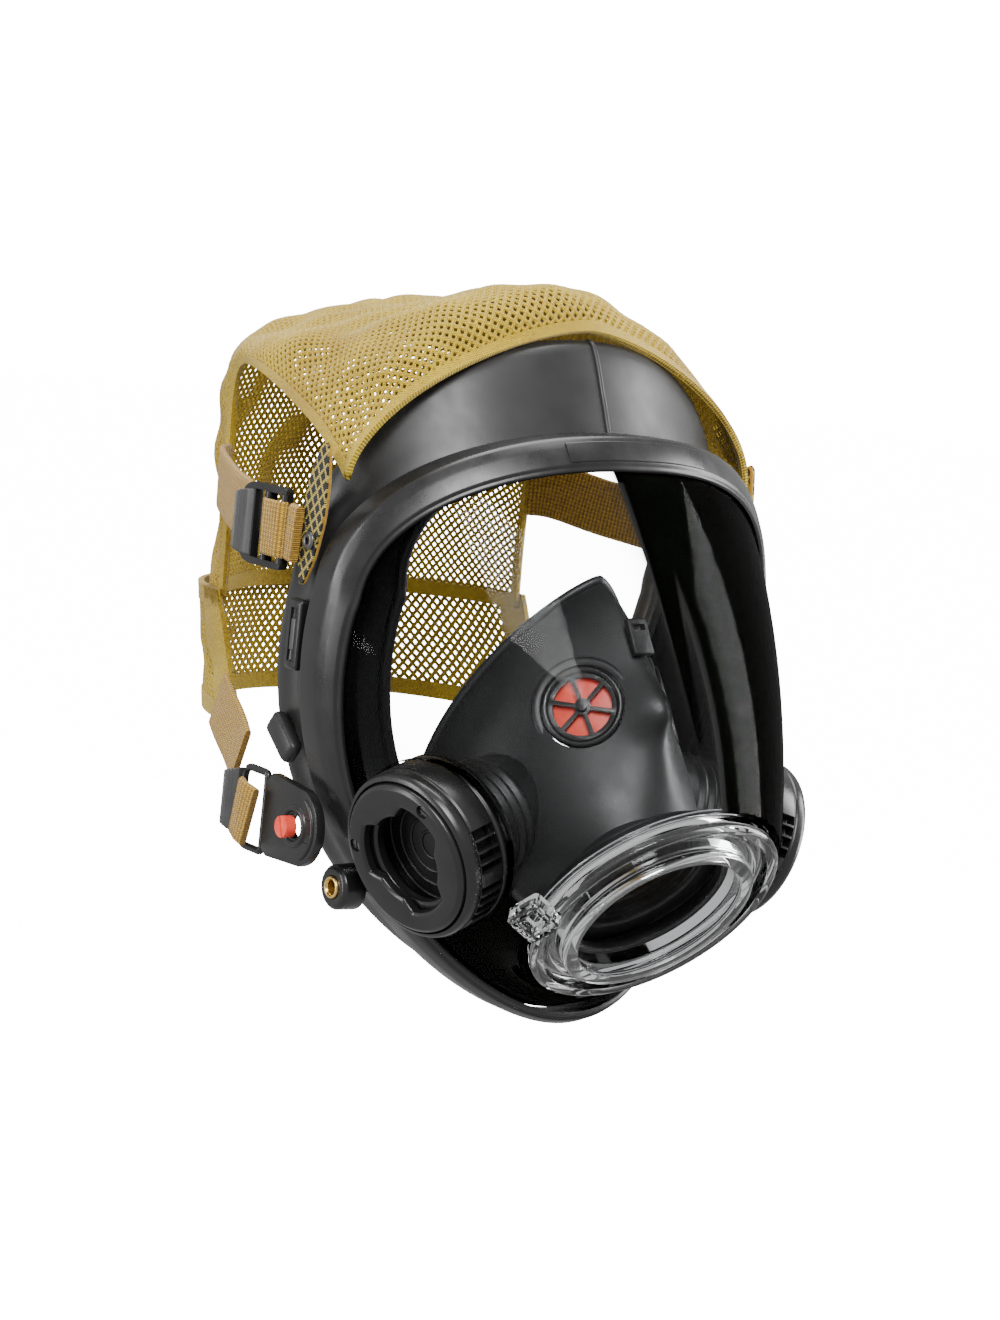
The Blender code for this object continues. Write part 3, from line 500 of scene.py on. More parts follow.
def cut(item, cutter):
    """Cuts a piece and removes the cutter."""
    tool = item.modifiers.new("cut", "BOOLEAN")
    tool.solver = "EXACT"
    tool.object = cutter
    apply_modifiers(item)
    bpy.data.objects.remove(cutter, do_unlink=True)
    return item


def keep_largest(item):
    """Drops the slivers that a cut leaves."""
    work = bmesh.new()
    work.from_mesh(item.data)
    waiting = set(work.verts)
    bodies = []
    while waiting:
        body, edge_of = set(), [waiting.pop()]
        while edge_of:
            vert = edge_of.pop()
            body.add(vert)
            for edge in vert.link_edges:
                other = edge.other_vert(vert)
                if other in waiting:
                    waiting.remove(other)
                    edge_of.append(other)
        bodies.append(body)
    bodies.sort(key=len)
    for body in bodies[:-1]:
        bmesh.ops.delete(work, geom=list(body), context="VERTS")
    work.to_mesh(item.data)
    work.free()
    return item


def soften(item, width):
    """Rounds a piece's sharp edges."""
    edge = item.modifiers.new("round", "BEVEL")
    edge.width = width
    edge.segments = 3
    edge.limit_method = "ANGLE"
    edge.angle_limit = math.radians(50)
    apply_modifiers(item, 50)


def move(item, matrix):
    """Places a piece by moving its points, so that its object stays at the origin."""
    item.data.transform(matrix)
    if matrix.determinant() < 0:
        item.data.flip_normals()
    return item


def standing(origin, axis, turn=0.0):
    """The matrix that puts local Z along an axis at a point."""
    aim = Vector(axis).to_track_quat("Z", "Y").to_matrix().to_4x4()
    return Matrix.Translation(origin) @ aim @ Matrix.Rotation(turn, 4, "Z")


def side_plane(origin):
    """The matrix that lays a flat outline drawn in XY into the YZ plane at a point."""
    return Matrix.Translation(origin) @ Matrix(((0, 0, 1, 0), (1, 0, 0, 0), (0, 1, 0, 0), (0, 0, 0, 1)))


def rounded(points, radii, steps=4):
    """A closed outline with each corner rounded. Points may be flat or solid vectors."""
    made = []
    count = len(points)
    for index, (point, radius) in enumerate(zip(points, radii)):
        before, after = points[index - 1], points[(index + 1) % count]
        start = point + (before - point).normalized() * radius
        end = point + (after - point).normalized() * radius
        for step in range(steps + 1):
            t = step / steps
            made.append(start * (1 - t) ** 2 + point * 2 * t * (1 - t) + end * t ** 2)
    return made


def turned(name, profile, look, origin, axis, steps=96, corner=0.3, sharp=38):
    """A turned piece from a closed (radius, height) profile in millimetres, its corners rounded."""
    outline = rounded([Vector((radius, 0, height)) * MM for radius, height in profile],
                      [corner * MM] * len(profile), 2)
    rings = []
    for index in range(steps):
        spin = Matrix.Rotation(2 * math.pi * index / steps, 3, "Z")
        rings.append([spin @ point for point in outline])
    return move(loft(name, rings, look, closed=True, sharp=sharp), standing(origin, axis))


def plate(name, loops, thickness, look, matrix, round_by=0.4 * MM):
    """A flat plate with rounded edges from (x, y) outlines: the first is its edge, the rest are holes."""
    curve = bpy.data.curves.new(name, "CURVE")
    curve.dimensions = "2D"
    curve.fill_mode = "BOTH"
    curve.extrude = thickness / 2
    for outline in loops:
        spline = curve.splines.new("POLY")
        spline.points.add(len(outline) - 1)
        for point, (x, y) in zip(spline.points, outline):
            point.co = (x, y, 0, 1)
        spline.use_cyclic_u = True
    item = welded(name, curve, look)
    if round_by:
        soften(item, round_by)
    return move(item, matrix)


def welded(name, curve, look):
    """A curve made a closed mesh."""
    drawn = link(name, curve)
    mesh = evaluated_mesh(drawn)
    bpy.data.objects.remove(drawn, do_unlink=True)
    work = bmesh.new()
    work.from_mesh(mesh)
    bmesh.ops.remove_doubles(work, verts=work.verts[:], dist=0.00001)
    bmesh.ops.recalc_face_normals(work, faces=work.faces[:])
    work.to_mesh(mesh)
    work.free()
    mesh.materials.clear()
    mesh.materials.append(look)
    shade(mesh, 40)
    return link(name, mesh)


def rod(name, points, radius, look, cyclic=False):
    """A round rod through points."""
    curve = bpy.data.curves.new(name, "CURVE")
    curve.dimensions = "3D"
    curve.bevel_depth = radius
    curve.bevel_resolution = 3
    curve.use_fill_caps = not cyclic
    spline = curve.splines.new("POLY")
    spline.points.add(len(points) - 1)
    for point, place in zip(spline.points, points):
        point.co = (*place, 1)
    spline.use_cyclic_u = cyclic
    return welded(name, curve, look)


def join(pieces, name):
    """Several meshes made one piece, each part keeping its material."""
    looks = []
    work = bmesh.new()
    for piece in pieces:
        part = bmesh.new()
        part.from_mesh(piece.data)
        look = piece.data.materials[0]
        if look not in looks:
            looks.append(look)
        for face in part.faces:
            face.material_index = looks.index(look)
        held = bpy.data.meshes.new("held")
        part.to_mesh(held)
        part.free()
        work.from_mesh(held)
        bpy.data.meshes.remove(held)
        bpy.data.objects.remove(piece, do_unlink=True)
    mesh = bpy.data.meshes.new(name)
    work.to_mesh(mesh)
    work.free()
    for look in looks:
        mesh.materials.append(look)
    return link(name, mesh)


def smooth_path(points, per_span=6):
    """Points along a smooth curve through the given ones."""
    ends = [points[0] * 2 - points[1]] + list(points) + [points[-1] * 2 - points[-2]]
    made = []
    for index in range(len(points) - 1):
        before, start, end, after = ends[index:index + 4]
        for step in range(per_span):
            t = step / per_span
            bend = 2 * before - 5 * start + 4 * end - after
            twist = 3 * start - before - 3 * end + after
            made.append((2 * start + (end - before) * t + bend * t * t + twist * t ** 3) / 2)
    made.append(points[-1].copy())
    return made


def arc(centre, radius, start, end, steps):
    angles = [math.radians(start + (end - start) * i / steps) for i in range(steps + 1)]
    return [(centre[0] + radius * math.cos(a), centre[1] + radius * math.sin(a)) for a in angles]


def circle(centre, radius, steps=32):
    return arc(centre, radius, 0, 360, steps)[:-1]


def box(name, size, look, matrix, round_by=0.6 * MM):
    """A block with rounded edges."""
    x, y = size[0] / 2, size[1] / 2
    return plate(name, [[(-x, -y), (x, -y), (x, y), (-x, y)]], size[2], look, matrix, round_by)


def finish_piece(item, body, *nodes):
    """Puts a piece on its body, in place of its CAD nodes."""
    if nodes:
        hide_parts(*nodes)
    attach(item, body)
    return item


def both_sides(item, body, *nodes):
    """Finishes a right-hand piece and its left-hand mirror image. Body and nodes lack their side."""
    name = item.name
    twin = move(link(name + "_left", item.data.copy()), MIRROR)
    item.name = name + "_right"
    for piece, side in ((item, "_right"), (twin, "_left")):
        owner = body if body == "facepiece" else body + side
        finish_piece(piece, owner, *[node + side for node in nodes])


# ---------------------------------------------------------------- the rim and the lens surface
def rim_point(angle):
    """The bezel's outer front corner, at an angle turned from +X up to +Z."""
    power = 2 / (RIM_POWER if math.sin(angle) > 0 else RIM_CHIN_POWER)
    reach = math.copysign(abs(math.cos(angle)) ** power, math.cos(angle))
    rise = math.copysign(abs(math.sin(angle)) ** power, math.sin(angle))
    height = RIM_TOP - RIM_MID if rise > 0 else RIM_MID - RIM_CHIN
    x = RIM_HALF_WIDTH * reach
    z = RIM_MID + height * rise
    wrap = 1 + 0.8 * max(0.0, -z) / RIM_CHIN_WRAP
    y = RIM_FRONT + wrap * x * x / (2 * RIM_WRAP_RADIUS) + RIM_TILT * z + z * z / (2 * RIM_BOW_RADIUS)
    return Vector((x, y, z))


def rim_tangent(angle):
    return (rim_point(angle + 0.02) - rim_point(angle - 0.02)).normalized()


def rim_inward(angle):
    along = rim_tangent(angle)
    return Vector((-along.z, 0, along.x)).normalized()


def port_circle(angle, radius, back):
    centre = PORT_CENTRE - PORT_AXIS * back
    return centre + radius * (Vector((1, 0, 0)) * math.cos(angle) + PORT_UP * math.sin(angle))


def lens_line(angle, share):
    """The lens's outer surface from the rim (0) to the port flange (1)."""
    end = port_circle(angle, PORT_FLANGE_RADIUS + LENS_THICKNESS, PORT_FLANGE_BACK)
    here = rim_point(angle).lerp(end, share)
    bulge = (2 + 5 * abs(math.cos(angle)) + 2 * max(0.0, math.sin(angle))) * MM
    here.y -= bulge * 4 * share * (1 - share)
    return here


def lens_frame(angle):
    """The rim's own directions: into the lens, out of its face, and in towards the middle."""
    along = rim_tangent(angle)
    slope = lens_line(angle, 0.06) - lens_line(angle, 0)
    inner = (slope - along * slope.dot(along)).normalized()
    outer = inner.cross(along)
    if outer.y > 0:
        outer.negate()
    return inner, outer, rim_inward(angle)


def span(start, end, steps):
    return [start + (end - start) * i / steps for i in range(steps + 1)]


def loop(steps):
    return [2 * math.pi * i / steps for i in range(steps)]


def cylinder(origin, axis, radius, depth):
    bpy.ops.mesh.primitive_cylinder_add(vertices=96, radius=radius, depth=depth)
    return move(bpy.context.object, standing(origin, axis))


def cut_drums(item, radius, front, back):
    """Cuts a piece by a cylinder along each voice drum's axis."""
    middle = DRUM_CENTRE + DRUM_AXIS * (front + back) / 2 * MM
    for side in (1, -1):
        flip = Vector((side, 1, 1))
        cut(item, cylinder(middle * flip, DRUM_AXIS * flip, radius, (front - back) * MM))
    return item


def port_room():
    return cylinder(PORT_CENTRE - PORT_AXIS * 12 * MM, PORT_AXIS, PORT_FLANGE_RADIUS + 1 * MM, 28 * MM)


# ---------------------------------------------------------------- lens and bezel
def make_lens():
    rows = []
    for share in span(0, 1, 28):
        row = []
        for angle in loop(160):
            inner, outer, _ = lens_frame(angle)
            inset = inner * LENS_EDGE_IN * (1 - share) ** 2
            row.append(lens_line(angle, share) + inset - outer * LENS_EDGE_UNDER * (1 - share ** 3))
        rows.append(row)
    item = surface("clear_lens", rows, LENS, LENS_THICKNESS, -1.0, wrap=True)
    cut_drums(item, DRUM_RADIUS + 0.8 * MM, 16, -26)
    finish_piece(keep_largest(item), "facepiece", "lens")


def bezel_ring(angle):
    """The bezel's section: a stepped face, a lip over the lens and a skirt round the seal."""
    inner, outer, inward = lens_frame(angle)
    corner = rim_point(angle)
    face = BEZEL_FACE / MM + 1.5 * math.sin(angle) - 2.2 * max(0.0, -math.sin(angle)) ** 4
    flat = [(0, 0, 1.0), (3.4, 0.4, 0.6), (face - 1.7, 0.35, 0.5), (face - 1.1, -0.3, 0.2),
            (face, -0.4, 0.4), (face + 0.3, -1.5, 0.2), (3.2, -1.5, 0.2)]
    points = [corner + (inner * i + outer * o) * MM for i, o, _ in flat]
    radii = [radius * MM for _, _, radius in flat] + [0.5 * MM] * 2
    back = Vector((0, 8 * MM, 0))
    points += [corner + inward * 3 * MM + back, corner + back]
    return rounded(points, radii, 3)


def make_bezel():
    for name, start, end, steps in (("bezel_upper", BEZEL_SPLIT, math.pi - BEZEL_SPLIT, 220),
                                    ("bezel_lower", -math.pi - CHIN_SPLIT, CHIN_SPLIT, 110)):
        rings = [bezel_ring(angle) for angle in span(start, end, steps)]
        item = loft(name + "_frame", rings, PLASTIC)
        cut_drums(item, DRUM_RADIUS + 1.2 * MM, 16, -26)
        finish_piece(keep_largest(item), "facepiece", name)
    rings = []
    panel = ((2.0, -0.3), (2.0, 0.75), (8.3, 0.75), (8.3, -0.3))
    for angle in span(math.radians(75), math.radians(105), 40):
        inner, outer, _ = lens_frame(angle)
        corner = rim_point(angle)
        outline = [corner + (inner * i + outer * o) * MM for i, o in panel]
        rings.append(rounded(outline, [0.4 * MM] * 4, 3))
    finish_piece(loft("bezel_blank_panel", rings, PLASTIC), "facepiece")


def make_clamps():
    """The oval lug with its brass insert at each side of the chin, and the clip above it."""
    centre = Vector((-64.5, -15.5, -84)) * MM
    away = Vector((-1, 0, 0))
    body = [(3.3, 0.2), (5.4, 0.2), (6.4, -0.8), (6.6, -7.2), (3.3, -7.2)]
    lug = turned("clamp_lug_body", body, PLASTIC, centre, away, corner=0.4)
    both_sides(lug, "facepiece", "clamp_lug")
    barrel = [(2.1, 0.2), (2.5, 0.9), (3.0, 0.9), (3.2, 0.5), (3.2, -6), (2.1, -6)]
    both_sides(turned("clamp_insert", barrel, BRASS, centre, away, 48, 0.15), "facepiece", "brass_insert")
    clip = box("rim_clip", (6.4 * MM, 20 * MM, 3.2 * MM), PLASTIC, side_plane((0, 0, 0)), 1.1 * MM)
    groove = box("rim_clip_groove", (3.0 * MM, 15 * MM, 1.6 * MM), PLASTIC,
                 side_plane((-1.6 * MM, 0, 0)), 0.3 * MM)
    cut(clip, groove)
    button = box("rim_clip_key", (2.0 * MM, 9 * MM, 1.2 * MM), GREY_PLASTIC,
                 side_plane((-1.0 * MM, 0, 0)), 0.4 * MM)
    clip = join([clip, button], "rim_clip")
    move(clip, Matrix.Translation(Vector((-76.9, -3.6, -14)) * MM))
    both_sides(clip, "facepiece", "bezel_clip")


# ---------------------------------------------------------------- regulator port
def make_port():
    collar = [(25, 0), (28.6, 0), (29.2, -0.8), (29.2, -1.8), (28.7, -2.1), (28.7, -2.9), (29.2, -3.2),
              (29.2, -6), (31.4, -6), (31.6, -5), (32.4, -5), (32.6, -6), (34.4, -6), (34.4, -2.6), (36.6, -2),
              (38, -3), (38, -9), (36, -9), (36, -8.2), (25, -8.2)]
    item = turned("port_ring", collar, GLASS, PORT_CENTRE, PORT_AXIS, 128, 0.25)
    finish_piece(item, "facepiece", "port_collar")
    gasket = [(23.2, -8.6), (24.2, -8.4), (25.2, -9.2), (26.2, -8.5), (31, -8.6), (31, -14), (26.4, -14),
              (26.4, -11), (23.2, -11)]
    item = turned("port_seal_ring", gasket, RUBBER, PORT_CENTRE, PORT_AXIS, 128, 0.3)
    finish_piece(item, "facepiece", "port_gasket")
    sleeve = [(20.6, -14.4), (29, -14.4), (29, -16), (23, -17), (23, -22), (20.6, -22), (20.1, -20.6),
              (20.6, -19.4), (20.1, -18), (20.6, -16.6), (20.1, -15.4)]
    item = turned("port_boot", sleeve, SOFT_RUBBER, PORT_CENTRE, PORT_AXIS, 128, 0.3)
    finish_piece(item, "facepiece", "port_sleeve")
    steps = [(3.7, -2.5), (7.6, -2.5), (7.6, 1.9), (7.1, 2.5), (6.3, 2.5), (5.9, 1.7), (5.2, 1.7), (4.8, 2.4),
             (4.1, 2.4), (3.7, 2.0)]
    corners = [Vector(point) for point in ((1, 0, 0), (0, 1, 0), (-1, 0, 0), (0, -1, 0))]
    rings = [[point * half * MM + Vector((0, 0, height * MM)) for half, height in steps]
             for point in rounded(corners, [0.22] * 4, 6)]
    boss = loft("coupling_diamond", rings, GLASS, closed=True, sharp=25)
    low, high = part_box("coupling_boss")
    aim = PORT_AXIS * 0.8 - Vector((0.6, 0, 0))
    finish_piece(move(boss, standing((low + high) / 2, aim)), "facepiece", "coupling_boss")


# ---------------------------------------------------------------- face seal
def seal_line(angle):
    """The seal's section at an angle, from the bezel's groove to the lip on the face."""
    brow = max(0.0, math.sin(angle)) ** 2.2
    chin = max(0.0, -math.sin(angle)) ** 2
    cheek = 1 - brow - chin
    side = [(4.7, 4.4), (5, 10), (6, 17), (7, 25), (10, 30), (17, 31), (23, 27), (27, 20), (30, 14),
            (31.5, 10)]
    top = [(4.7, 4.4), (4.7, 10.8), (-7, 16.6), (-22, 24), (-21, 30), (-11, 33), (2, 33), (5, 32), (7, 30),
           (8, 28)]
    base = [(4.7, 5.8), (4.9, 11), (5, 20), (5, 32), (9, 39), (18, 41), (26, 36), (28, 33), (29, 30),
            (29, 28)]
    corner, inward = rim_point(angle), rim_inward(angle)
    line = []
    for cheek_at, brow_at, chin_at in zip(side, top, base):
        reach = cheek * cheek_at[0] + brow * brow_at[0] + chin * chin_at[0]
        back = cheek * cheek_at[1] + brow * brow_at[1] + chin * chin_at[1]
        line.append(corner + inward * reach * MM + Vector((0, back * MM, 0)))
    line = smooth_path(line, 5)
    for index, point in enumerate(line):
        fold = math.sin(index / 5 * math.pi) * 0.5 * MM * min(1.0, index / 10)
        point += inward * fold * (1 - brow)
    return line


def make_face_seal():
    columns = [seal_line(angle) for angle in loop(160)]
    rows = [list(row) for row in zip(*columns)]
    skirt = surface("seal_skirt", rows, RUBBER, 2.4 * MM, 0.0, wrap=True)
    rim = [point.copy() for point in rows[-1]]
    bead = rod("seal_bead", rim, 1.7 * MM, RUBBER, cyclic=True)
    seam = [point + Vector((0, -0.7, 0.9)) * MM for point in seal_line(math.pi / 2)[6:18]]
    seam = rod("seal_seam", smooth_path(seam, 3), 0.9 * MM, RUBBER)
    finish_piece(join([skirt, bead, seam], "seal_body"), "facepiece", "face_seal")


# ---------------------------------------------------------------- nose cup
def cup_surface(angle, share):
    """The nose cup's outer surface from the lip (0) to the port sleeve (1)."""
    rise = math.sin(angle)
    reach = math.copysign(abs(math.cos(angle)) ** (1.6 if rise > 0 else 0.95), math.cos(angle))
    height = CUP_TOP - CUP_WAIST if rise > 0 else CUP_WAIST - CUP_CHIN
    z = CUP_WAIST + height * rise
    start = Vector((CUP_HALF_WIDTH * reach, (-38 + 16 * abs(reach) ** 1.2) * MM - 0.14 * z, z))
    here = start.lerp(port_circle(angle, SLEEVE_RADIUS - 0.6 * MM, SLEEVE_BACK - 2 * MM), share)
    over = max(0.0, rise)
    swell = math.sin(math.pi * share ** (1 - 0.35 * over))
    tip = math.exp(-((share - 0.5) / 0.12) ** 2) * over ** 16
    here.y -= ((3 + 6 * over ** 12) * swell + 6 * tip) * MM
    here.x += 4 * MM * math.cos(angle) * swell
    return here


def make_nose_cup():
    rows = [[cup_surface(angle, share) for angle in loop(120)] for share in span(0, 1, 36)]
    cup = surface("breathing_cup", rows, SOFT_RUBBER, CUP_THICKNESS, -1.0, wrap=True)
    cut_drums(cup, 15.4 * MM, -10, -50)
    low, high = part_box("inhalation_valve_right")
    centre = (low + high) / 2 + VALVE_AXIS * 1.05 * MM
    lip = [cup_surface(angle, 0.0) for angle in loop(120)]
    parts = [cup, rod("cup_bead", lip, 1.5 * MM, SOFT_RUBBER, True)]
    ring = [(11.6, -5.0), (15.6, -5.0), (15.4, -1.0), (14.4, 0.9), (13.6, 1.3), (12.0, 1.1)]
    for side in (1, -1):
        spot, axis = centre * Vector((side, 1, 1)), VALVE_AXIS * Vector((side, 1, 1))
        cut(cup, cylinder(spot, axis, SEAT_RADIUS + 0.4 * MM, 16 * MM))
        parts.append(turned("cup_ring", ring, SOFT_RUBBER, spot, axis))
    finish_piece(join(parts, "breathing_cup"), "facepiece", "nose_cup")
    spot = cup_surface(math.pi / 2, 0.23) + Vector((0, -1.9 * MM, 1 * MM))
    lean = Matrix.Translation(spot) @ Matrix.Rotation(math.radians(58), 4, "X")
    tab = box("cup_slot_tab", (7 * MM, 11 * MM, 2 * MM), SOFT_RUBBER, lean, 0.6 * MM)
    lean = lean @ Matrix.Translation((0, 2.6 * MM, 0))
    cut(tab, box("slot", (4.4 * MM, 1.8 * MM, 6 * MM), SOFT_RUBBER, lean, 0))
    finish_piece(tab, "facepiece", "nose_cup_tab")
    make_valves(centre)


def make_valves(centre):
    outlines = [circle((0, 0), SEAT_RADIUS, 72)]
    for spoke in range(6):
        middle = spoke * 60 + 30
        outer = arc((0, 0), VALVE_RADIUS - 0.6 * MM, middle - 25.5, middle + 25.5, 8)
        outlines.append(outer + arc((0, 0), 2.4 * MM, middle + 16, middle - 16, 3))
    here = standing(centre + VALVE_AXIS * 0.6 * MM, VALVE_AXIS)
    seat = plate("valve_spokes", outlines, 1.4 * MM, PLASTIC, here, 0.25 * MM)
    lip = turned("valve_lip", [(9.6, 0), (11.8, 0), (11.6, 0.9), (10.8, 1.3), (9.8, 0.9)], PLASTIC,
                 centre + VALVE_AXIS * 1.0 * MM, VALVE_AXIS)
    stud = plate("valve_stud", [circle((0, 0), 1.5 * MM, 32)], 1.6 * MM, PLASTIC,
                 here @ Matrix.Translation((0, 0, 1.2 * MM)), 0.5 * MM)
    both_sides(join([seat, lip, stud], "valve_spider"), "facepiece", "valve_seat")
    flap = plate("valve_flap", [circle((0, 0), VALVE_RADIUS, 72)], 0.9 * MM, RED,
                 standing(centre - VALVE_AXIS * 1.05 * MM, VALVE_AXIS), 0.3 * MM)
    both_sides(flap, "valve", "inhalation_valve")


# ---------------------------------------------------------------- voice drums
def make_drums():
    shell = [(19.4, -2.8), (21.9, -2.8), (22.2, -1), (23.4, -1.6), (24, -3), (24, -5), (23.6, -5.3),
             (23.6, -5.9), (24, -6.2), (24, -13.4), (23.5, -13.8), (23.5, -14.4), (24, -14.8), (24, -17),
             (21.8, -17), (21.8, -13), (19.4, -13)]
    drum = turned("drum_housing", shell, PLASTIC, DRUM_CENTRE, DRUM_AXIS, 144, 0.25)
    cut(drum, port_room())
    for turn in (-40, -32, -24, -16, 0, 8, 16, 24):
        angle = math.radians(turn)
        spot = Vector((24.5 * math.cos(angle), 24.5 * math.sin(angle), -9.8)) * MM
        here = standing(DRUM_CENTRE, DRUM_AXIS) @ Matrix.Translation(spot) @ Matrix.Rotation(angle, 4, "Z")
        cut(drum, box("slot", (9 * MM, 2.7 * MM, 8 * MM), PLASTIC, here, 0.4 * MM))
    both_sides(drum, "facepiece", "voice_drum")


def make_bayonet():
    """The ring with the three-lobed mouth, its two screws and the step inside it."""
    place = standing(DRUM_CENTRE, DRUM_AXIS)
    rings = []
    for angle in loop(180):
        lobe = 1.5 * math.cos(3 * angle) + 0.3
        bore = (15.5 - 3.2 * min(1.0, max(0.0, lobe))) * MM
        way = Vector((math.cos(angle), math.sin(angle), 0))
        outline = [(bore, 0), (bore + 0.9 * MM, 0.5 * MM), (20.4 * MM, 0.5 * MM), (21.5 * MM, -0.4 * MM),
                   (21.6 * MM, -2.4 * MM), (bore, -2.4 * MM)]
        points = [way * reach + Vector((0, 0, rise)) for reach, rise in outline]
        rings.append(rounded(points, [0.3 * MM] * 6, 2))
    front = move(loft("drum_bayonet", rings, PLASTIC, closed=True), place)
    for number, turn in (("1", 60), ("2", 180)):
        angle = math.radians(turn)
        spot = place @ Vector((18.8 * math.cos(angle) * MM, 18.8 * math.sin(angle) * MM, 0))
        cut(front, cylinder(spot, DRUM_AXIS, 1.9 * MM, 2.4 * MM))
        screw = plate("drum_screw_head", [circle((0, 0), 1.6 * MM, 32)], 0.8 * MM, STEEL,
                      standing(spot - DRUM_AXIS * 0.7 * MM, DRUM_AXIS), 0.2 * MM)
        slot = box("slot", (0.5 * MM, 4 * MM, 1 * MM), STEEL,
                   standing(spot - DRUM_AXIS * 0.2 * MM, DRUM_AXIS, angle), 0)
        screw.name = "drum_screw_head_" + number
        both_sides(cut(screw, slot), "facepiece", "drum_screw_" + number)
    step = [(13.6, -3.4), (14.6, -2.9), (19.0, -3.2), (19.0, -6), (13.6, -6)]
    inner = turned("drum_inner_ring", step, PLASTIC, DRUM_CENTRE, DRUM_AXIS)
    both_sides(join([front, inner], "drum_bayonet"), "facepiece", "bayonet_ring")


def make_diaphragm_and_duct():
    place = standing(DRUM_CENTRE - DRUM_AXIS * 11.3 * MM, DRUM_AXIS)
    film = [plate("drum_film", [circle((0, 0), 19 * MM, 72)], 0.6 * MM, RUBBER, place, 0.1 * MM)]
    for radius in (4, 8, 12, 16):
        ring = [place @ Vector((x, y, 0.3 * MM)) for x, y in circle((0, 0), radius * MM, 64)]
        film.append(rod("drum_film_ring", ring, 0.5 * MM, RUBBER, True))
    both_sides(join(film, "drum_film"), "facepiece", "voice_diaphragm")
    folds = [(13, -13.6), (21.4, -13.6), (21.4, -17.4), (23.8, -17.8), (24.0, -18.4), (23.8, -19),
             (21.8, -19.6), (21.8, -20.4), (18, -21.4), (16.4, -22.6), (17.6, -23.8), (17.6, -24.6),
             (16.2, -25.6), (17.4, -26.8), (17.4, -27.6), (16.2, -28.6), (17.4, -29.8), (17.4, -30.6),
             (16.2, -31.8), (17.2, -33), (17.2, -34), (16, -35.2), (16, -46), (13, -46)]
    duct = turned("drum_bellows", folds, RUBBER, DRUM_CENTRE, DRUM_AXIS, 120, 0.4)
    both_sides(cut(duct, port_room()), "facepiece", "voice_duct")


# ---------------------------------------------------------------- head net
def net_grid(crown, edge, power, across, per_span):
    """Points over the net: rows from front to back, each an arch from one side to the other."""
    middles = smooth_path([Vector((0, y, z)) * MM for y, z in crown], per_span)
    sides = smooth_path([Vector(point) * MM for point in edge], per_span)
    rows = []
    for middle, side in zip(middles, sides):
        row = []
        for index in range(across + 1):
            turn = (2 * index / across - 1) * math.pi / 2
            drop = (1 - math.cos(turn)) ** power
            x = -side.x * math.sin(turn)
            y = middle.y + (side.y - middle.y) * drop
            z = middle.z + (side.z - middle.z) * drop
            row.append(Vector((x, y, z)))
        rows.append(row)
    return rows


def even_grid(rows, along, across):
    """Resamples a grid to evenly spaced points along both ways."""
    def resample(line, count):
        lengths = np.concatenate(([0], np.cumsum(np.linalg.norm(np.diff(line, axis=0), axis=1))))
        places = np.linspace(0, lengths[-1], count + 1)
        return np.stack([np.interp(places, lengths, line[:, axis]) for axis in range(3)], axis=1)

    grid = np.array([resample(np.array([tuple(p) for p in row]), across) for row in rows])
    columns = np.array([resample(grid[:, index], along) for index in range(across + 1)])
    return columns.transpose(1, 0, 2)


def grid_normals(grid):
    normals = np.cross(np.gradient(grid, axis=0), np.gradient(grid, axis=1))
    return normals / np.linalg.norm(normals, axis=2, keepdims=True)


def wrinkle(grid, amount, size, outward):
    """Waves a cloth in and out by smooth noise that dies away at its edges."""
    normals = grid_normals(grid)
    rows, columns = grid.shape[:2]
    if np.sum(normals[rows // 2, columns // 2] * outward) < 0:
        normals = -normals
    for row in range(rows):
        for column in range(columns):
            border = min(row, rows - 1 - row, column, columns - 1 - column)
            held = min(1.0, border / 10)
            place = Vector(grid[row, column]) / size
            fold = noise.noise(Vector((place.x, place.y * 0.6, place.z))) + 0.5 * noise.noise(place * 2.3)
            grid[row, column] += normals[row, column] * fold * amount * held
    return grid


def cloth_uvs(grid):
    """(across, along) in metres for each point of a grid."""
    rows, columns = grid.shape[:2]
    wide = np.linalg.norm(np.diff(grid[rows // 2], axis=0), axis=1).sum()
    long = np.linalg.norm(np.diff(grid[:, columns // 2], axis=0), axis=1).sum()
    across, along = np.meshgrid(np.linspace(0, wide, columns), np.linspace(0, long, rows))
    return np.stack([across, along], axis=2), (float(wide), float(long))


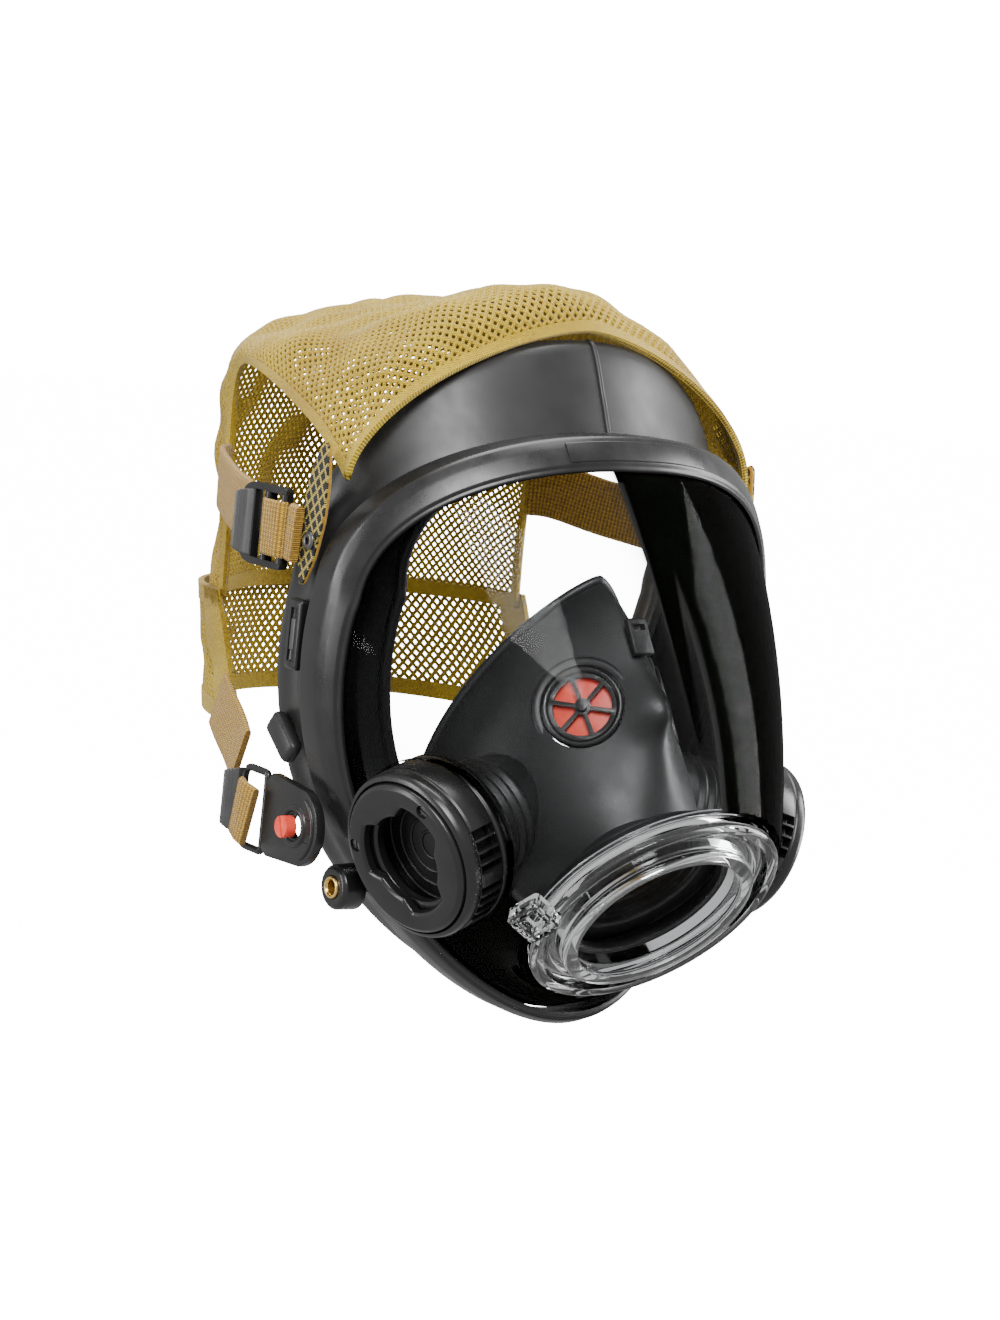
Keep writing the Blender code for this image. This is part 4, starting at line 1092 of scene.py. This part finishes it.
def lattice_cloth(name, grid, look):
    """Openwork knit: a diamond hole at every other grid point, with rounded strands between."""
    normals = grid_normals(grid)
    flat, _ = cloth_uvs(grid)
    rows, columns = grid.shape[:2]
    verts, uvs, faces, made = [], [], [], {}

    def add(point, uv):
        verts.append(point)
        uvs.append(uv)
        return len(verts) - 1

    def strand(row, column):
        """The top and bottom points where strands meet."""
        if (row, column) not in made:
            point, up = grid[row, column], normals[row, column]
            uv = flat[row, column]
            made[row, column] = (add(point + up * 0.6 * MM, uv), add(point - up * 0.6 * MM, uv))
        return made[row, column]

    for row in range(rows):
        for column in range(columns):
            if (row + column) % 2 == 0:
                continue
            round_it = [(row, column - 1), (row - 1, column), (row, column + 1), (row + 1, column)]
            corners = [(r, c) for r, c in round_it if 0 <= r < rows and 0 <= c < columns]
            tops = [strand(r, c)[0] for r, c in corners]
            bottoms = [strand(r, c)[1] for r, c in corners]
            if len(corners) < 4:
                faces += [tuple(tops), tuple(reversed(bottoms))]
                level = row in (0, rows - 1)
                first, last = [i for i, (r, c) in enumerate(corners) if (r == row if level else c == column)]
                faces.append((tops[first], tops[last], bottoms[last], bottoms[first]))
                continue
            centre, up, middle = grid[row, column], normals[row, column], flat[row, column]
            inner_top, inner_low = [], []
            for r, c in corners:
                point = centre + (grid[r, c] - centre) * 0.5
                uv = middle + (flat[r, c] - middle) * 0.5
                inner_top.append(add(point + up * 0.25 * MM, uv))
                inner_low.append(add(point - up * 0.25 * MM, uv))
            for index in range(4):
                other = (index + 1) % 4
                faces.append((tops[index], tops[other], inner_top[other], inner_top[index]))
                faces.append((inner_top[index], inner_top[other], inner_low[other], inner_low[index]))
                faces.append((inner_low[index], inner_low[other], bottoms[other], bottoms[index]))
    return face_outward(mesh_object(name, verts, faces, look, uvs, None))


def hem_cloth(name, grid, flat, widths):
    """Solid woven strips along a net's edges. Widths gives each side's number of cells."""
    last_row, last_column = grid.shape[0] - 1, grid.shape[1] - 1
    hems = []
    for side, cells in widths.items():
        first = last_row - cells if side == "lower" else 0
        last = cells if side in ("front", "upper") else last_row
        start = last_column - cells if side == "left" else 0
        end = cells if side == "right" else last_column
        part = [[Vector(point) for point in row] for row in grid[first:last + 1, start:end + 1]]
        uvs = flat[first:last + 1, start:end + 1].reshape(-1, 2)
        strip = surface(name + side, part, NETTING, 1.9 * MM, 0.0, uvs=uvs, sharp=50)
        hems.append(finish_piece(strip, "facepiece"))
    return hems


def make_net():
    crown = [(-23, 77), (-13, 87), (15, 84), (50, 80), (84, 71), (104, 54), (113, 32), (114, 8), (113, -17)]
    edge = [(-73, -15, 31), (-73, -2, 41), (-72, 18, 50), (-69, 40, 56), (-62, 60, 56), (-58, 69, 47),
            (-57, 70, 30), (-56, 69, 8), (-56, 68, -17)]
    grid = even_grid(net_grid(crown, edge, 0.75, 64, 6), 126, 126)
    grid = wrinkle(grid, 5.0 * MM, 0.034, (0, 0, 1))
    flat, size = cloth_uvs(grid)
    net = lattice_cloth("net_crown", grid, NETTING)
    hems = hem_cloth("net_hem_", grid, flat, {"front": 2, "right": 2, "left": 2, "lower": 3})
    finish_piece(net, "facepiece", "head_net")
    levels = (-12.5, -25, -38, -51)
    sides = [(-58, 68 - 6 * i, z) for i, z in enumerate(levels)]
    grid = even_grid(net_grid([(114.4, z) for z in levels], sides, 1.0, 64, 6), 22, 120)
    grid = wrinkle(grid, 1.6 * MM, 0.02, (0, 1, 0))
    flat, size = cloth_uvs(grid)
    band = lattice_cloth("net_nape", grid, NETTING)
    hems = hem_cloth("nape_hem_", grid, flat, {"upper": 3, "lower": 3, "right": 8, "left": 8})
    finish_piece(band, "facepiece", "nape_band")


# ---------------------------------------------------------------- straps and buckles
def webbing(name, points, ups, width, thickness, look, per_span=10):
    """Flat woven strap along a smooth path. Ups are its width's direction at either end."""
    path = smooth_path([Vector(point) * MM for point in points], per_span)
    half, thick = width / 2, thickness / 2
    near = [(half, -0.3), (half - 0.4, -0.8), (half - 1.2, -1), (half * 0.6, -1), (half * 0.3, -1)]
    lower = near + [(0, -1)] + [(-x, y) for x, y in reversed(near)]
    section = lower + [(x, -y) for x, y in reversed(lower)]
    rings, uvs, length = [], [], 0.0
    for index, here in enumerate(path):
        ahead = path[min(index + 1, len(path) - 1)] - path[max(index - 1, 0)]
        length += (here - path[index - 1]).length if index else 0.0
        side = Vector(ups[0]).lerp(Vector(ups[1]), index / (len(path) - 1))
        side = (side - ahead * (side.dot(ahead) / ahead.length_squared)).normalized()
        face = ahead.cross(side).normalized()
        wave = 0.25 * math.sin(length * 190) * MM
        rings.append([here + side * across * MM + face * (over * thick * MM + wave)
                      for across, over in section])
        uvs += [(across * MM, length) for across, _ in section]
    return loft(name, rings, look, uvs=uvs)


def thumb_tab(name, hinge, steps, section):
    """A ribbed thumb tab. Section gives, for a share of its length: how far along, and (x, z) corners."""
    rings = []
    for step in range(steps + 1):
        y, outline = section(step / steps, step)
        rings.append(rounded([hinge + Vector((x, y, z)) * MM for x, z in outline], [0.6 * MM] * 4, 3))
    return loft(name, rings, GREY_PLASTIC)


def make_temple_straps():
    up = (0, 0.05, 1)
    tail = ((-57, 70.5, 22.3), (-63.5, 64, 22), (-71, 47, 19), (-78, 24.5, 16.5))
    both_sides(webbing("temple_webbing", tail, (up, up), 18, 1.8, WEBBING), "facepiece", "temple_strap")
    loop_path = ((-80.8, -0.9, 14.4), (-81, -3.2, 14.2), (-81.1, -5.6, 14))
    both_sides(webbing("temple_webbing_loop", loop_path, (up, up), 16, 2.6, WEBBING, 6), "facepiece",
               "temple_loop")
    half, inside = 11.5 * MM, 9.6 * MM
    edge = [(0.4 * MM, -half), (18 * MM, -half), (22.4 * MM, -half * 0.8), (22.4 * MM, half * 0.8),
            (18 * MM, half), (0.4 * MM, half)]
    radii = [radius * MM for radius in (1.5, 2, 2.5, 2.5, 2, 1.5)]
    edge = [(p.x, p.y) for p in rounded([Vector((x, y, 0)) for x, y in edge], radii, 5)]
    holes = [[(near * MM, -inside), (far * MM, -inside), (far * MM, inside), (near * MM, inside)]
             for near, far in ((2.6, 8.4), (10.6, 15.8))]
    frame_plate = plate("buckle_ladder", [edge] + holes, 2.6 * MM, PLASTIC, side_plane(BUCKLE_HINGE), 0.6 * MM)
    ribs = [rod("buckle_bar", [BUCKLE_HINGE + Vector((-0.6 * MM, y * MM, -inside)),
                               BUCKLE_HINGE + Vector((-0.6 * MM, y * MM, inside))], 1.25 * MM, PLASTIC)
            for y in (1.4, 9.5)]

    def section(t, step):
        lift, tall = 1.2 + 2.1 * math.sin(t * math.pi * 0.62), 9.4 - 1.6 * t * t
        front = -lift - (0.35 * (step % 2) if step > 4 else 0)
        return 16.4 + 6.8 * t, [(front, tall), (front, -tall), (-lift + 1.7, -tall), (-lift + 1.7, tall)]

    thumb = thumb_tab("buckle_thumb", BUCKLE_HINGE, 12, section)
    both_sides(join([frame_plate] + ribs + [thumb], "buckle_ladder"), "buckle", "temple_buckle")
    hinge = BUCKLE_HINGE / MM
    wrap = ((-1.2, -0.8, 0), (-2.5, 1.4, 0), (-2.6, 6.5, 0), (-2.3, 9, 0), (-0.2, 10.4, 0))
    wrap = [hinge + Vector(point) for point in wrap]
    both_sides(webbing("buckle_wrap", wrap, (up, up), 15.6, 1.4, WEBBING, 6), "buckle")
    make_label()


def make_label():
    """The woven label over the seal's rubber tab, with its eyelet."""
    slant = Matrix.Rotation(math.radians(8), 4, "X")
    leaf = [(0, -21), (3.6, -13), (5.5, -3), (4.6, 10), (1.4, 20.4), (-1.2, 20.8), (-4.2, 9), (-5, -1),
            (-3.4, -12)]
    line = [Vector((x, y, 0)) * MM for x, y in leaf]
    edge = [(p.x, p.y) for p in rounded(line, [2.2 * MM] * len(line), 4)]
    here = Matrix.Translation(RIVET_CENTRE + Vector((3, 3, 4)) * MM) @ slant @ side_plane((0, 0, 0))
    inner = [(x * 0.8 + 1 * MM, y * 0.72) for x, y in edge]
    tab = plate("seal_temple_tab", [inner], 1.7 * MM, RUBBER, here, 0.5 * MM)
    both_sides(tab, "facepiece", "temple_tab")
    here = Matrix.Translation(RIVET_CENTRE + Vector((1.2, 0.6, 7)) * MM) @ slant @ side_plane((0, 0, 0))
    label = plate("woven_label", [edge], 1.2 * MM, LABEL, Matrix.Identity(4), 0.3 * MM)
    layer = label.data.uv_layers.new(name="weave")
    for corner in label.data.loops:
        place = label.data.vertices[corner.vertex_index].co
        layer.data[corner.index].uv = (place.x, place.y)
    move(label, here)
    border = [here @ Vector((x * 0.93, y * 0.97, 0.55 * MM)) for x, y in edge]
    border = rod("woven_label_border", border, 0.55 * MM, WEBBING, True)
    both_sides(join([label, border], "woven_label"), "facepiece", "label_patch")
    eyelet = turned("label_eyelet", [(0.9, 0.1), (1.8, 0.2), (2.5, -0.4), (2.5, -0.9), (0.9, -0.9)], STEEL,
                    RIVET_CENTRE - Vector((0.9, 0, 0)) * MM, (-1, 0, 0), 48, 0.15)
    both_sides(eyelet, "facepiece", "label_rivet")


def make_neck_straps():
    up = (0, -0.36, 1)
    run = ((-61, 58, -44), (-66, 42, -50), (-70.5, 28.5, -55.5))
    both_sides(webbing("neck_webbing", run, (up, up), 18, 1.8, WEBBING), "facepiece", "neck_strap")
    nose = arc((0, 0), 11.5 * MM, -110, -250, 28)
    edge = nose + [(13 * MM, 12.4 * MM), (15.5 * MM, 10 * MM), (15.5 * MM, -10 * MM), (13 * MM, -11.6 * MM)]
    body = plate("swivel_body", [edge, circle((0, 0), 3.5 * MM, 48)], 3 * MM, PLASTIC,
                 side_plane(BUTTON_CENTRE), 0.8 * MM)
    step = [(3.9, 1.2), (4.6, 2.3), (5.6, 2.3), (6.4, 1.2)]
    collar = turned("swivel_collar", step, PLASTIC, BUTTON_CENTRE, (-1, 0, 0))
    ridge = [BUTTON_CENTRE + Vector((-1.5 * MM, y * 0.82, z * 0.82)) for y, z in edge[2:-6]]
    ridge = rod("swivel_ridge", ridge, 0.7 * MM, PLASTIC)
    both_sides(join([body, collar, ridge], "swivel_body"), "swivel", "swivel_plate")
    spot = BUTTON_CENTRE + Vector((-4.2 * MM, 0, 0))
    button = plate("release_cap", [circle((0, 0), 3.1 * MM, 48)], 3.4 * MM, RED,
                   standing(spot, (-1, 0, 0)), 0.7 * MM)
    cut(button, box("slot", (1.0 * MM, 7 * MM, 1.6 * MM), RED,
                    standing(spot - Vector((1.7 * MM, 0, 0)), (-1, 0, 0), math.radians(20)), 0))
    both_sides(button, "button", "release_button")
    half = 11.5 * MM
    path = [(0, -half), (10 * MM, -half), (12 * MM, -half + 2 * MM), (12 * MM, half - 2 * MM), (10 * MM, half),
            (0, half)]
    path = rounded([Vector((0, y, z)) for y, z in path], [1.5 * MM] * 6, 4)
    path = [point + BAIL_HINGE for point in path]
    both_sides(rod("bail_wire", path, 1.1 * MM, PLASTIC, True), "bail", "strap_bail")

    def section(t, step):
        lift, low, high = 1.3 + 1.4 * math.sin(t * math.pi * 0.6), -9 + 2 * t, 10.5 - 1.8 * t
        front = -lift - 0.3 * (step % 2)
        return 13.4 + 6.0 * t, [(front, high), (front, low), (-lift + 1.9, low), (-lift + 1.9, high)]

    both_sides(thumb_tab("bail_thumb", BAIL_HINGE, 10, section), "bail", "thumb_tab")
    hinge = BAIL_HINGE / MM
    drop = [hinge + Vector(point) for point in ((-2.6, 11, 0), (-3.2, 7, -1), (-2.8, 3, -2))]
    both_sides(webbing("strap_end", drop, ((0, 0, 1), (0, 0, 1)), 18, 2.2, WEBBING, 8), "bail", "strap_fold")
    turn = Matrix.Translation(Vector((-71.6, 5.5, -45)) * MM) @ Matrix.Rotation(math.radians(38), 4, "X")
    paddle = box("neck_paddle", (15 * MM, 7.5 * MM, 4.4 * MM), RUBBER, turn @ side_plane((0, 0, 0)), 1.9 * MM)
    both_sides(paddle, "facepiece", "neck_tab")


make_lens()
make_bezel()
make_clamps()
make_port()
make_face_seal()
make_nose_cup()
make_drums()
make_bayonet()
make_diaphragm_and_duct()
make_net()
make_temple_straps()
make_neck_straps()
